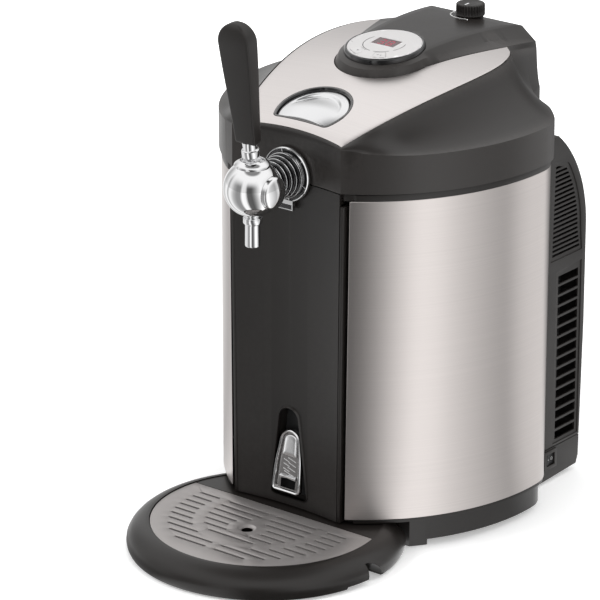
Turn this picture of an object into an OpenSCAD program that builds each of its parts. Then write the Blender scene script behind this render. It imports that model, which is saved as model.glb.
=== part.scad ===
// Counter-top dispenser for five-litre party kegs: a cooled keg well in a rolled steel body,
// a hinged lid with the controls and the gas supply, a lever tap on the front, and a drip tray.
// Every length is in millimetres. Heights start at the surface it stands on. In the sizes below,
// "back" and "y" are measured rearwards from the two front corners of the body, at its middle.

/* [Body] */
// Width across the steel sides at their widest
body_w = 314; // [306:1:322]
// How far back the widest place is
wide_y = 172; // [164:1:180]
// Radius of a rolled steel side, seen from above
side_r = 204; // [198:1:212]
// How far back the round back of the body reaches
back_y = 278.6; // [274:0.2:283]
// Radius of the round back, seen from above
back_r = 188; // [180:1:196]
// Radius where a side rolls into the back
corner_r = 40; // [30:1:50]
// Height of the steel sides' lower edge
steel_z0 = 31.4; // [30:0.2:36]
// Height of the steel sides' upper edge
steel_z1 = 343; // [336:1:345]
// Thickness of the steel sheet
steel_t = 1.2; // [0.8:0.1:1.6]
// Wall of the moulded covers
wall = 3; // [2.4:0.1:3.4]
// Height of the joint between body and lid
seam_z = 350; // [349.5:0.1:351.5]

/* [Front panel] */
// Width of the front panel at its foot
panel_w0 = 117; // [110:1:120]
// Width of the front panel at its top
panel_w1 = 123; // [120:1:126]
// How deep the front panel bows inwards
panel_dip = 5.4; // [4:0.2:7]
// Height of the front panel's foot
panel_z0 = 27.6; // [27.4:0.1:29]
// Width of the dark trim strip beside the panel
trim_w = 4; // [3:0.1:4.6]

/* [Bottle opener] */
// Height of the opener's pocket above its own foot
pocket_h = 90; // [84:1:100]
// Height of the pocket's foot
pocket_z = 36; // [34:1:44]
// Half width of the pocket at its foot
pocket_hw0 = 21; // [20:0.5:24]
// Radius of the pocket's round top
pocket_hw1 = 11.5; // [10:0.5:14]
// Depth of the pocket behind the panel
pocket_d = 14; // [12:1:18]
// Height of the opener itself
opener_h = 65; // [60:1:72]
// Angle at which the opener leans out at its foot
opener_tilt = 9; // [6:1:12]

/* [Lid] */
// How far the lid's rim overhangs the steel sides
lid_over = 2.6; // [1.5:0.1:4]
// Height of the crease above the lid's rim band
crease_z = 386; // [380:1:392]
// Height of the lid's top at its front edge
lid_z0 = 394; // [390:1:400]
// Height of the lid's top at the back of the steel plate
lid_z1 = 436; // [430:1:440]
// Drop of the top plate from its middle to its side edge
lid_crown = 6; // [4:0.5:8]
// Thickness of the lid's steel plate
plate_t = 1.1; // [0.8:0.1:1.3]
// How far back the lid's tail reaches
tail_y = 294; // [292:0.5:295]
// Half width of the lid's tail
tail_hw = 73; // [70:0.5:76]

/* [Console] */
// How far back the control disc's middle is
disc_y = 147; // [144:1:150]
// Diameter of the control disc
disc_d = 70.6; // [66:0.2:71]
// Angle at which the disc tilts to the front
disc_tilt = 6.5; // [5:0.5:8]
// Highest point of the console
console_z = 443.6; // [442:0.2:446]
// Radius of the console's nose at the top plate
nose_r = 46.5; // [45:0.5:49]
// Diameter of the pressure knob
knob_d = 28; // [24:0.5:31]
// Height of the pressure knob
knob_h = 12.2; // [10:0.5:16]
// How far back the pressure knob is
knob_y = 281; // [276:0.5:282]

/* [Tap] */
// Height of the tap's middle
tap_z = 355.5; // [354.5:0.5:357]
// How far the tap's ball stands in front of the body's corners
ball_y = 47.6; // [46:0.2:52]
// Radius of the tap's ball
ball_r = 26.6; // [25:0.2:27.6]
// Radius of the locking ring
ring_r = 26; // [24:0.5:28]
// Radius of the shank where it passes the panel
shank_r = 17; // [15:0.5:17.5]
// Bore of the spout
spout_bore = 8.4; // [6:0.2:9]
// Height of the spout's mouth
spout_z = 300.3; // [290:0.5:306]
// Lean of the tap lever to the front, as it stands
lever_lean = 8.5; // [6:0.5:10]
// Length of the tap handle
handle_l = 118; // [100:1:130]
// Width of the handle at its foot
handle_w0 = 28; // [24:1:32]
// Width of the handle near its top
handle_w1 = 41; // [36:1:46]

/* [Keg well] */
// Inside diameter of the keg well
well_d = 180; // [176:1:182]
// Depth of the keg well below its rim
well_h = 278; // [262:1:280]
// How far back the well's middle is
well_y = 132; // [130:1:134]
// Wall of the keg well
well_t = 2; // [1.5:0.1:2.5]
// Thickness of the foam jacket round the well
foam_t = 14; // [10:1:15]

/* [Drip tray] */
// Widest radius of the drip tray
tray_r = 130; // [126:1:134]
// How far the tray's middle is in front of the body's corners
tray_y = 30; // [27:0.5:33]
// Height of the grille's top
grille_z = 26.2; // [25.6:0.1:26.6]
// Width of the tray's rim, outside the grille
tray_rim = 22; // [20:1:26]
// Width of a grille slot
slot_w = 2.6; // [2:0.1:3.2]
// Distance from one row of slots to the next
slot_pitch = 10.25; // [9.6:0.05:10.6]

/* [Rear housing] */
// How far back the rear housing reaches
rear_y = 304; // [303:0.5:308]
// Half width of the rear housing
rear_hw = 123; // [120:0.5:125]
// Radius of the housing's round shoulder, seen from the side
shoulder_r = 129; // [124:1:134]
// Height where the round shoulder starts
shoulder_z = 250; // [246:1:254]
// Count of the wide vents in a housing side
vents = 16; // [12:1:16]
// Distance from one wide vent to the next
vent_pitch = 10.6; // [10:0.1:11]
// Count of the fine louvres in a housing side
louvres = 20; // [14:1:21]
// Distance from one fine louvre to the next
louvre_pitch = 4.6; // [4.2:0.1:4.8]
// Outside size of the square fan frame
fan_w = 92; // [80:1:96]
// Depth of the fan frame
fan_d = 25; // [20:1:26]

/* [Fits] */
// Gap between pieces that only lie beside each other
gap = 0.4; // [0.3:0.05:0.5]
// Gap round a piece that turns or slides in another
run = 0.08; // [0.05:0.01:0.1]

/* [Hidden] */
$fn = 64;
e = 0.01;
// the middle of the whole object, front to back, from the body's corners
mid_y = (rear_y - tray_y - tray_r) / 2;

grille_r = tray_r - tray_rim;

// body plan: two side arcs, two corner arcs and a back arc
side_c = [body_w / 2 - side_r, wide_y];
back_c = [0, back_y - back_r];
function dir(a) = [cos(a), sin(a)];
function angle_of(v) = atan2(v[1], v[0]);
function meet(a, ra, b, rb) =
    let (d = norm(b - a), u = (b - a) / d, k = (ra * ra - rb * rb + d * d) / (2 * d))
    a + k * u + sqrt(ra * ra - k * k) * [-u[1], u[0]];
corner_c = meet(side_c, side_r - corner_r, back_c, back_r - corner_r);
side_a = angle_of(corner_c - side_c);
back_a = angle_of(corner_c - back_c);
function arc(c, r, a0, a1, n) = [for (i = [0:n]) c + r * dir(a0 + (a1 - a0) * i / n)];
function tail(list) = [for (i = [1:len(list) - 1]) list[i]];
function mirrored(half) = [for (i = [len(half) - 1:-1:0]) [-half[i][0], half[i][1]]];
function start_a(y, off) = -asin((wide_y - y) / (side_r + off));
function plan_half(off, y) = concat(
    arc(side_c, side_r + off, start_a(y, off), side_a, 20),
    tail(arc(corner_c, corner_r + off, side_a, back_a, 5)),
    tail(arc(back_c, back_r + off, back_a, 90, 10)));
function plan(off, y) = concat(plan_half(off, y), tail(mirrored(plan_half(off, y))));
function side_x(y, off) = side_c[0] + sqrt(pow(side_r + off, 2) - pow(wide_y - y, 2));

// the panel's bow: a cylinder in front of the body
bow_r = (pow(panel_w1 / 2, 2) + pow(panel_dip, 2)) / (2 * panel_dip);
function bow_y(x) = panel_dip - bow_r + sqrt(bow_r * bow_r - x * x);

// heights that the rest takes from the seam and the edges
deck_z1 = seam_z - 1;
deck_z0 = steel_z1 - 5;
base_z0 = 6;
base_front = 47.5;
well_z0 = deck_z1 - well_h;
well_r = well_d / 2;
foam_r = well_r + well_t + gap + foam_t;
pan_z0 = seam_z + 3;
pan_z1 = pan_z0 + 3;
seal_r = well_r + 5;

// the tap
bonnet_z = tap_z + ball_r - 2;
lever_z = tap_z + 16.5;
socket_r = 11;
notch_r = shank_r + 0.8;
chamber_r = 6.8;

// hinge of the lid
hinge_y = tail_y + 5.2;
hinge_z = seam_z - 2;
pin_r = 2.2;

// the keg coupler's parking place and the hose's groove in the deck
hose_r = 4;
groove_r = 121;
hose_z = deck_z1 - hose_r + 0.2;
coupler_r = 9.5;
// the hose leaves the shank sideways, sinks into the groove and follows it round to the coupler
function round_well(a) = [0, well_y] + groove_r * [cos(a), sin(a)];
park = round_well(105);
hose_route = concat(
    [[18, 19.5, tap_z], [20, 19.5, tap_z], [26, 19, tap_z - 0.7], [31.5, 18, tap_z - 2.2],
        [38, 17.6, tap_z - 5.2], [44.6, 19.3, tap_z - 8.2]],
    [for (a = [-65:9:97]) [round_well(a)[0], round_well(a)[1], hose_z]]);

black = [0.13, 0.13, 0.13];
steel = [0.72, 0.71, 0.69];
chrome = [0.85, 0.86, 0.88];
dark = [0.2, 0.2, 0.21];
alloy = [0.65, 0.66, 0.68];

// moves a piece from the sizes above to the object's own middle
module place() {
    translate([0, -mid_y, 0]) children();
}

module both_sides() {
    children();
    mirror([1, 0, 0]) children();
}

// an outline drawn as [x, z], given depth d rearwards from y
module upright(y, d) {
    translate([0, y + d, 0]) rotate([90, 0, 0]) linear_extrude(d) children();
}

// a rod along y, from y0 to y1, on the tap's axis or at another height
module rod_y(r, y0, y1, z = tap_z, x = 0) {
    translate([x, y0, z]) rotate([-90, 0, 0]) cylinder(r = r, h = y1 - y0);
}

module rod_x(r, x0, x1, y, z) {
    translate([x0, y, z]) rotate([0, 90, 0]) cylinder(r = r, h = x1 - x0);
}

module box(x, y, z) {
    translate([x[0], y[0], z[0]]) cube([x[1] - x[0], y[1] - y[0], z[1] - z[0]]);
}

module slab(off, y, z0, z1) {
    translate([0, 0, z0]) linear_extrude(z1 - z0) polygon(plan(off, y));
}

// everything in front of the panel's bow, set d rearwards
module bow(d, z0, z1) {
    translate([0, panel_dip - bow_r, z0]) cylinder(r = bow_r + d, h = z1 - z0, $fn = 256);
}

// ---- base ----

screw_at = [for (a = [45:90:315]) [0, well_y] + 66 * dir(a)];
foot_at = [[96, 78], [-96, 78], [84, 236], [-84, 236]];
foot_r = 11;
skirt_in = 5;
stand_r = 72;
tongue_x = 52;
tongue_w = 22;
tongue_z = [9.4, 13.4];

module base() place() color(black) {
    difference() {
        union() {
            // the deck that the panel and the steel stand on
            difference() {
                slab(-1, 1, panel_z0, steel_z0);
                bow(wall + gap, panel_z0 - 1, steel_z0 + 1);
                both_sides() box([panel_w0 / 2 - 2, panel_w0 / 2 + 14], [-9, 11 + gap],
                    [panel_z0 - 1, steel_z0 + 1]);
                slab(-skirt_in - wall, base_front + wall, panel_z0 - 1, steel_z0 + 1);
            }
            difference() {
                slab(-skirt_in, base_front, base_z0, panel_z0 + 1);
                slab(-skirt_in - wall, base_front + wall, base_z0 + wall, panel_z0 + 2);
            }
            // front foot blocks reach down beside the tray
            both_sides() intersection() {
                slab(-skirt_in, base_front, 0.6, base_z0 + 1);
                box([70, 130], [base_front, base_front + 14], [0.6, base_z0 + 1]);
            }
        }
        for (p = foot_at) translate([p[0], p[1], base_z0 - e]) cylinder(r = foot_r + gap, h = 1);
        for (p = screw_at) translate([p[0], p[1], base_z0 - 1]) cylinder(r = 1.6 + run, h = wall + 2);
        both_sides() box([tongue_x - tongue_w / 2 - gap, tongue_x + tongue_w / 2 + gap],
            [base_front - 1, base_front + wall + 1], [tongue_z[0] - gap, tongue_z[1] + gap]);
    }
}

module rubber_feet() place() color(dark) {
    for (p = foot_at) translate([p[0], p[1], 0]) cylinder(r1 = foot_r - 1, r2 = foot_r, h = base_z0 + 1 - e);
}

module base_screws() place() color(chrome) {
    for (p = screw_at) translate([p[0], p[1], 0]) {
        translate([0, 0, base_z0 - 2]) cylinder(r = 3.2, h = 2);
        translate([0, 0, base_z0 - 1]) cylinder(r = 1.6, h = 12);
    }
}

// a ring on four screw posts carries the foam jacket and the keg's weight
module well_stand() place() color(dark) {
    z0 = base_z0 + wall;
    z1 = well_z0 - well_t - foam_t;
    difference() {
        translate([0, well_y, z0]) cylinder(r = stand_r, h = z1 - z0, $fn = 96);
        translate([0, well_y, z0 - 1]) cylinder(r = stand_r - wall, h = z1 - z0 + 2, $fn = 96);
        for (a = [0, 90]) translate([0, well_y, z0 + 6]) rotate(a)
            box([-40, 40], [-stand_r - 9, stand_r + 9], [0, z1 - z0 - 14]);
    }
    for (p = screw_at) translate([p[0], p[1], z0]) difference() {
        cylinder(r = 5, h = z1 - z0);
        translate([0, 0, -1]) cylinder(r = 1.6 + run, h = 14);
    }
}

// ---- front ----

function half_w(z) = panel_w0 / 2 + (panel_w1 - panel_w0) / 2 * (z - panel_z0) / (seam_z - panel_z0);

// a strip of the front between two distances from the middle, tapered as the panel is
module front_strip(x0, x1, z0, z1) {
    polygon([[half_w(z0) + x0, z0], [half_w(z0) + x1, z0], [half_w(z1) + x1, z1], [half_w(z1) + x0, z1]]);
}

function pocket_outline(g) = concat(
    arc([0, pocket_z + pocket_h - pocket_hw1], pocket_hw1 + g, 8, 172, 12),
    arc([-pocket_hw0 + 5, pocket_z + 5], 5 + g, 180, 262, 4),
    arc([pocket_hw0 - 5, pocket_z + 5], 5 + g, 278, 360, 4));

module front_panel() place() color(black) {
    difference() {
        union() {
            difference() {
                intersection() {
                    upright(-2, 20) polygon([
                        [-half_w(panel_z0), panel_z0], [half_w(panel_z0), panel_z0],
                        [half_w(deck_z1), deck_z1], [-half_w(deck_z1), deck_z1]]);
                    bow(wall, panel_z0, deck_z1);
                }
                bow(0, panel_z0 - 1, deck_z1 + 1);
            }
            difference() {
                upright(panel_dip - 1, pocket_d + 1) polygon(pocket_outline(2));
                bow(0, panel_z0 - 1, deck_z1 + 1);
            }
        }
        upright(-9, 9 + panel_dip + pocket_d - 2) polygon(pocket_outline(0));
        rod_y(notch_r, -9, 20);
    }
}

// a dark strip with a web behind it that closes the groove up to the steel's edge
module corner_trim() color(black) {
    upright(0.6, 10.4) front_strip(gap, trim_w, panel_z0, deck_z0 - gap);
    upright(9, 2) front_strip(trim_w - e, trim_w + 8, panel_z0, deck_z0 - gap);
}

module corner_trim_right() place() corner_trim();
module corner_trim_left() place() mirror([1, 0, 0]) corner_trim();

opener_t = 5.6;
opener_z = pocket_z + 4.5;

function opener_outline(g) = concat(
    arc([0, opener_h - pocket_hw1], pocket_hw1 - 1.2 + g, 9, 171, 12),
    arc([-pocket_hw0 + 9, 6.5], 6 + g, 180, 262, 4),
    arc([pocket_hw0 - 9, 6.5], 6 + g, 278, 360, 4));

// a cast ring and hood, leaning out at the foot, with the cap's mouth between hood and bar
module bottle_opener() place() color(chrome) {
    boss_y = panel_dip + pocket_d - 2;
    translate([0, 2.5, opener_z]) rotate([-opener_tilt, 0, 0]) difference() {
        union() {
            difference() {
                upright(-opener_t, opener_t) polygon(opener_outline(0));
                upright(-opener_t - 1, opener_t - 1) polygon(opener_outline(-4.2));
            }
            upright(-opener_t + 1, 2.6) intersection() {
                polygon(opener_outline(-5));
                translate([-20, opener_h * 0.58]) square([40, 40]);
            }
            for (i = [0:3]) box([-11, 11], [-2.6, -1.8], [18 + 5 * i, 19.6 + 5 * i]);
        }
        upright(-opener_t - 1, opener_t + 3) translate([-8.6, 5.5]) square([17.2, 10]);
    }
    difference() {
        box([-6, 6], [4, boss_y], [opener_z + 34, opener_z + 50]);
        translate([0, 2.5, opener_z]) rotate([-opener_tilt, 0, 0]) box([-9, 9], [-30, 0], [-9, 99]);
    }
}

// ---- steel sides and rear housing ----

wrap_end = 112;

module side_wrap() color(steel) {
    edge = trim_w + 4;
    difference() {
        slab(0, 1, steel_z0, steel_z1);
        slab(-steel_t, 0, steel_z0 - 1, steel_z1 + 1);
        box([-body_w, 0], [-9, 400], [0, 400]);
        box([0, wrap_end], [wide_y + 10, 400], [0, 400]);
        upright(-9, 40) polygon([[0, 0], [half_w(0) + edge, 0], [half_w(400) + edge, 400], [0, 400]]);
    }
}

module side_wrap_right() place() side_wrap();
module side_wrap_left() place() mirror([1, 0, 0]) side_wrap();

// side view of the rear housing, as [y, z], drawn in by g
shoulder_a = 51.5;
function rear_profile(g) = concat(
    [[200, 2 + g], [rear_y - 7 - g, base_z0 + g], [rear_y - 4 - g, 14 + g], [rear_y - g, 150]],
    arc([rear_y - shoulder_r, shoulder_z], shoulder_r - g, 0, shoulder_a, 14),
    [[240, shoulder_z + shoulder_r * sin(shoulder_a) - g],
        [200, shoulder_z + shoulder_r * sin(shoulder_a) - g]]);

module side_profile(hw) {
    rotate([90, 0, 90]) linear_extrude(hw * 2, center = true) children();
}

// a recess 1 mm deep in both sides of the housing, from its outline in y and z
module side_recess(points) {
    both_sides() rotate([90, 0, 90]) translate([0, 0, rear_hw - 1]) linear_extrude(3) polygon(points);
}

vent_y = [261, rear_y - 10];
vent_z = 42;
louvre_y = [250, rear_y - 9];
louvre_z = 231;
switch_y = [242, 262];
switch_z = [15, 34];
fan_z = 200;
grille_w = fan_w + 8;

module rear_housing() place() color(black) {
    difference() {
        side_profile(rear_hw) polygon(rear_profile(0));
        side_profile(rear_hw - wall) polygon(rear_profile(wall));
        slab(gap, 0, -1, seam_z + 9);
        slab(lid_over + 1, 0, seam_z - 1, seam_z + 9);
        box([-tail_hw - 4, tail_hw + 4], [200, 400], [hinge_z - 20, 400]);
        box([-rear_hw - 1, rear_hw + 1], [190, 400], [-1, 2 + e]);
        // both fields of openings lie in shallow recesses, over a shadow line
        side_recess(concat([[louvre_y[0] - 3.5, louvre_z - 4], [louvre_y[1] + 3, louvre_z - 4]],
            arc([rear_y - shoulder_r, shoulder_z], shoulder_r - 8.5, 0, 36, 8), [[louvre_y[0], 326]]));
        side_recess([[vent_y[0] - 4.5, vent_z - 3.5], [vent_y[1] + 4, vent_z - 3.5],
            [vent_y[1] + 4, vent_z + vents * vent_pitch + 5],
                [vent_y[0] - 4.5, vent_z + vents * vent_pitch + 3]]);
        side_recess([[200, vent_z - 6.6], [rear_y + 1, vent_z - 6.6], [rear_y + 1, vent_z - 5.8],
            [200, vent_z - 5.8]]);
        for (i = [0:vents - 1]) box([-rear_hw - 1, rear_hw + 1], vent_y,
            [vent_z + i * vent_pitch, vent_z + (i + 0.76) * vent_pitch]);
        intersection() {
            side_profile(rear_hw + 1) polygon(concat(
                [[louvre_y[0], louvre_z], [louvre_y[1], louvre_z]],
                arc([rear_y - shoulder_r, shoulder_z], shoulder_r - 13, 0, 35, 8),
                [[louvre_y[0] + 3, 322]]));
            for (i = [0:louvres - 1]) box([-rear_hw - 2, rear_hw + 2], [200, 400],
                [louvre_z + i * louvre_pitch, louvre_z + (i + 0.5) * louvre_pitch]);
        }
        box([rear_hw - wall - 1, rear_hw + 1], [switch_y[0] + 1.5, switch_y[1] - 1.5],
            [switch_z[0] + 1.5, switch_z[1] - 1.5]);
        box([-grille_w / 2, grille_w / 2], [rear_y - wall - 1, rear_y + 1],
            [fan_z - grille_w / 2, fan_z + grille_w / 2]);
        box([-inlet_x - inlet_w / 2, -inlet_x + inlet_w / 2], [rear_y - 9, rear_y + 1],
            [inlet_z - inlet_h / 2, inlet_z + inlet_h / 2]);
    }
}

// a slotted cover in the rear wall, over the fan
module fan_grille() place() color(black) {
    w = grille_w / 2 - gap;
    difference() {
        box([-w, w], [rear_y - wall, rear_y], [fan_z - w, fan_z + w]);
        for (r = [12:8:w - 8]) rotate_slot(r);
    }
}

// a ring-shaped slot, left whole along the upright and the level middle
module rotate_slot(r) {
    difference() {
        rod_y(r + 4, rear_y - wall - 1, rear_y + 1, fan_z);
        rod_y(r, rear_y - wall - 2, rear_y + 2, fan_z);
        for (a = [45, 135]) translate([0, 0, fan_z]) rotate([0, a, 0])
            box([-99, 99], [rear_y - 9, rear_y + 9], [-3, 3]);
    }
}

// ---- deck, well and cooling ----

module hose_groove() {
    translate([0, well_y, 0]) rotate_extrude($fn = 128)
        translate([groove_r - hose_r - 1, hose_z - hose_r - 0.4])
        square([2 * (hose_r + 1), 20]);
}

hook_x = 40;
hook_w = 9;
hook_y = [30, 35];

module deck_ring() place() color(black) {
    difference() {
        union() {
            slab(-steel_t - gap, 1, deck_z0, deck_z1);
            slab(0, 8, steel_z1, deck_z1);
            // a cup under the deck parks the keg coupler
            translate([park[0], park[1], deck_z0 - 34]) cylinder(r = coupler_r + 2.5, h = 35);
        }
        bow(wall + 2 * gap, 0, 400);
        both_sides() box([panel_w0 / 2 + trim_w - 2, 99], [-9, 12], [deck_z0 - 1, steel_z1]);
        translate([0, well_y, 0]) cylinder(r = well_r + well_t + gap, h = 400, $fn = 128);
        translate([0, well_y, deck_z1 - well_t]) cylinder(r = seal_r + 4 + gap, h = 9, $fn = 128);
        difference() {
            hose_groove();
            box([-150, 25], [0, 150], [0, 400]);
            box([-150, park[0]], [0, 400], [0, 400]);
        }
        translate([park[0], park[1], deck_z0 - 32]) cylinder(r = coupler_r + run, h = 400);
        rod_y(shank_r + 5, -9, 34);
        both_sides() box([hook_x - hook_w / 2 - 1.5, hook_x + hook_w / 2 + 1.5],
            [hook_y[0] - 6, hook_y[1] + 5], [0, 400]);
    }
}

module keg_well() place() color(alloy) {
    translate([0, well_y, 0]) difference() {
        union() {
            translate([0, 0, well_z0 - well_t]) cylinder(r = well_r + well_t, h = well_h + well_t, $fn = 128);
            translate([0, 0, deck_z1 - well_t]) cylinder(r = seal_r + 4, h = well_t, $fn = 128);
        }
        translate([0, 0, well_z0]) cylinder(r = well_r, h = well_h + 9, $fn = 128);
    }
}

block_w = 50;
block_z = [175, 225];
block_y = well_y + foam_r + 4;

module foam_jacket() place() color([0.9, 0.9, 0.86]) {
    translate([0, well_y, 0]) difference() {
        translate([0, 0, well_z0 - well_t - foam_t])
            cylinder(r = foam_r, h = deck_z0 - 36 - well_z0 + well_t + foam_t, $fn = 128);
        translate([0, 0, well_z0 - well_t]) cylinder(r = well_r + well_t + gap, h = 400, $fn = 128);
        box([-block_w / 2 - gap, block_w / 2 + gap], [0, foam_r + 9], [block_z[0] - gap, block_z[1] + gap]);
    }
}

// an alloy saddle that carries the well's heat to the cooler
module cold_block() place() color(alloy) {
    difference() {
        box([-block_w / 2, block_w / 2], [well_y + well_r - 9, block_y], block_z);
        translate([0, well_y, 0]) cylinder(r = well_r + well_t + 0.1, h = 400, $fn = 128);
    }
}

module peltier_module() place() color("white") {
    box([-20, 20], [block_y, block_y + 3.6], [fan_z - 20, fan_z + 20]);
    rod_x(0.9, 20 - e, 30, block_y + 1.8, fan_z - 16);
    rod_x(0.9, 20 - e, 30, block_y + 1.8, fan_z - 12);
}

sink_y = block_y + 3.6;
sink_w = 110;
sink_end = rear_y - wall - fan_d - 0.3;

module heat_sink() place() color(alloy) {
    box([-sink_w / 2, sink_w / 2], [sink_y, sink_y + 6], [fan_z - 60, fan_z + 60]);
    for (i = [0:15]) translate([-sink_w / 2 + i * (sink_w - 2) / 15, 0, 0])
        box([0, 2], [sink_y + 5, sink_end], [fan_z - 60, fan_z + 60]);
}

module fan_frame() place() color(dark) {
    y0 = rear_y - wall - fan_d;
    y1 = rear_y - wall;
    difference() {
        box([-fan_w / 2, fan_w / 2], [y0, y1], [fan_z - fan_w / 2, fan_z + fan_w / 2]);
        rod_y(fan_w / 2 - 3, y0 - 1, y1 - 4, fan_z);
        difference() {
            rod_y(fan_w / 2 - 3, y0 - 1, y1 + 1, fan_z);
            rod_y(14, y0 - 2, y1 + 2, fan_z);
            for (a = [0, 60, 120]) translate([0, 0, fan_z]) rotate([0, a, 0])
                box([-99, 99], [0, 400], [-2, 2]);
        }
        rod_y(2 + run, y0, y1 - 1.5, fan_z);
    }
}

module fan_rotor() place() color(black) {
    y0 = rear_y - wall - fan_d;
    y1 = rear_y - wall - 5;
    rod_y(13, y0 + 3, y1, fan_z);
    rod_y(2, y1 - 1, y1 + 3, fan_z);
    for (a = [0:360 / 7:359]) translate([0, (y0 + y1) / 2 + 1, fan_z]) rotate([0, a, 0]) rotate([0, 0, 35])
        box([-8, 8], [-1, 1], [11, fan_w / 2 - 4.5]);
}

module circuit_board() place() color([0.1, 0.35, 0.2]) {
    z = base_z0 + wall;
    x = -104;
    box([x - 25, x + 24], [120, 200], [z + 6, z + 7.6]);
    for (p = [[-20, 5], [19, 5], [-20, 75], [19, 75]]) translate([x + p[0], 120 + p[1], z])
        cylinder(r = 2.5, h = 6.5);
    for (i = [0:2]) translate([x - 12, 135 + 18 * i, z + 7.6]) cylinder(r = 6, h = 16);
    box([x + 2, x + 18], [134, 176], [z + 7.6 - e, z + 18]);
}

module power_supply() place() color([0.6, 0.6, 0.58]) {
    z = base_z0 + wall;
    difference() {
        box([84, 124], [120, 206], [z, z + 44]);
        for (i = [0:6]) box([83, 125], [130 + 10 * i, 135 + 10 * i], [z + 8, z + 36]);
    }
    box([88, 120], [124, 202], [z + 2, z + 40]);
}

inlet_x = 70;
inlet_z = 44;
inlet_w = 28;
inlet_h = 21;

module mains_inlet() place() color(dark) {
    y1 = rear_y - 0.8;
    translate([-inlet_x, 0, inlet_z]) difference() {
        union() {
            box([-inlet_w / 2 + gap, inlet_w / 2 - gap], [y1 - 22, y1 - 1],
                [-inlet_h / 2 + gap, inlet_h / 2 - gap]);
            box([-inlet_w / 2 - 3, inlet_w / 2 + 3], [y1 - 1.6, y1], [-inlet_h / 2 - 3, inlet_h / 2 + 3]);
        }
        box([-inlet_w / 2 + 2.5, inlet_w / 2 - 2.5], [y1 - 17, y1 + 1],
            [-inlet_h / 2 + 2.5, inlet_h / 2 - 2.5]);
    }
    for (x = [-7, 0, 7]) translate([-inlet_x, 0, inlet_z]) box([x - 1, x + 1], [y1 - 18, y1 - 5], [-2, 2]);
}

rocker_c = [rear_hw - 4, (switch_y[0] + switch_y[1]) / 2];

module switch_bezel() place() color(black) {
    difference() {
        union() {
            box([rear_hw, rear_hw + 1.4], switch_y, switch_z);
            box([rear_hw - 14, rear_hw + e], [switch_y[0] + 2, switch_y[1] - 2],
                [switch_z[0] + 2, switch_z[1] - 2]);
        }
        box([rear_hw - 11, rear_hw + 3], [switch_y[0] + 3.4, switch_y[1] - 3.4],
            [switch_z[0] + 3.4, switch_z[1] - 3.4]);
        translate([rocker_c[0], rocker_c[1], switch_z[0] + 2.4])
            cylinder(r = 1.5 + run, h = switch_z[1] - switch_z[0] - 4.8);
    }
}

rocker_tilt = 7;

// rocks about an upright pin; drawn pressed at its front end
module rocker_switch() place() color(dark) {
    h = switch_z[1] - switch_z[0];
    hw = (switch_y[1] - switch_y[0]) / 2 - 4.2;
    translate([rocker_c[0], rocker_c[1], switch_z[0]]) {
        translate([0, 0, 2.6]) cylinder(r = 1.5, h = h - 5.2);
        rotate([0, 0, rocker_tilt]) translate([0, 0, 4]) linear_extrude(h - 8)
            polygon([[-4, -hw + 2], [4.4, -hw], [3.6, 0], [4.4, hw], [-4, hw - 2]]);
    }
}

// ---- lid ----

ear_x = [32, 40];

module hinge_base() place() color(black) {
    foot_z = hinge_z - 20;
    both_sides() difference() {
        union() {
            rod_x(4.7, ear_x[0], ear_x[1], hinge_y, hinge_z);
            box(ear_x, [hinge_y - 4.7, hinge_y + 4.7], [foot_z, hinge_z]);
        }
        rod_x(pin_r + run, ear_x[0] - 1, ear_x[1] + 1, hinge_y, hinge_z);
    }
    // a crossbar between the ears is cut to the housing's round shoulder
    difference() {
        box([-ear_x[1], ear_x[1]], [hinge_y - 28, hinge_y + 4.7], [foot_z - 34, foot_z + e]);
        side_profile(200) polygon(rear_profile(0));
        slab(gap, 0, -1, 400);
    }
    box([-ear_x[1], ear_x[1]], [hinge_y - 28, hinge_y + 4.7], [foot_z, foot_z + 3]);
}

module hinge_pin() place() color(chrome) rod_x(pin_r, -ear_x[1] - 1, ear_x[1] + 1, hinge_y, hinge_z);

module hinge_knuckle() place() color(black) {
    x = ear_x[0] - gap;
    difference() {
        union() {
            rod_x(4.5, -x, x, hinge_y, hinge_z);
            box([-x, x], [tail_y + e, hinge_y + 4.5], [hinge_z, hinge_z + 16]);
        }
        rod_x(pin_r + run, -x - 1, x + 1, hinge_y, hinge_z);
    }
}

// The lid is drawn as closed rings round its middle. A place on a ring is u: 0 to 1 runs along
// half the front edge, 1 to 2 along a side to the steel plate's tip, and 2 to 3 round the tail.
front_n = 4;
side_n = 18;
rear_n = 12;
us = concat([for (i = [0:front_n - 1]) i / front_n], [for (i = [0:side_n - 1]) 1 + i / side_n],
    [for (i = [0:rear_n]) 2 + i / rear_n]);
function mix(a, b, t) = a + (b - a) * t;
function ease(t) = t * t * (3 - 2 * t);
function clamp(t) = min(1, max(0, t));
function lid_c() = [0, 150];

rim_a = 48;
tail_a = 62;
front_hw = side_x(0, 0);
// share of a side's length that is its long arc, and that ends its corner arc
arc_s = 0.79;
corner_s = 0.88;

function side_at(t, off) =
    t < arc_s ? side_c + (side_r + off) * dir(mix(start_a(0, 0), side_a, t / arc_s)) :
    t < corner_s ? corner_c + (corner_r + off) * dir(mix(side_a, back_a, (t - arc_s) / (corner_s - arc_s))) :
    back_c + (back_r + off) * dir(mix(back_a, rim_a, (t - corner_s) / (1 - corner_s)));

function tail_at(v, off) =
    v < 0.3 ? back_c + (back_r + off) * dir(mix(rim_a, tail_a, v / 0.3)) :
    v < 0.5 ? mix(back_c + (back_r + off) * dir(tail_a), [tail_hw, tail_y], (v - 0.3) / 0.2) :
    [tail_hw * (1 - v) / 0.5, tail_y];

function rim(u) =
    u < 1 ? [front_hw * u, bow_y(front_hw * u)] :
    u < 2 ? side_at(u - 1, lid_over * sin(90 * clamp(3 * (u - 1)))) :
    tail_at(u - 2, lid_over);

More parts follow.
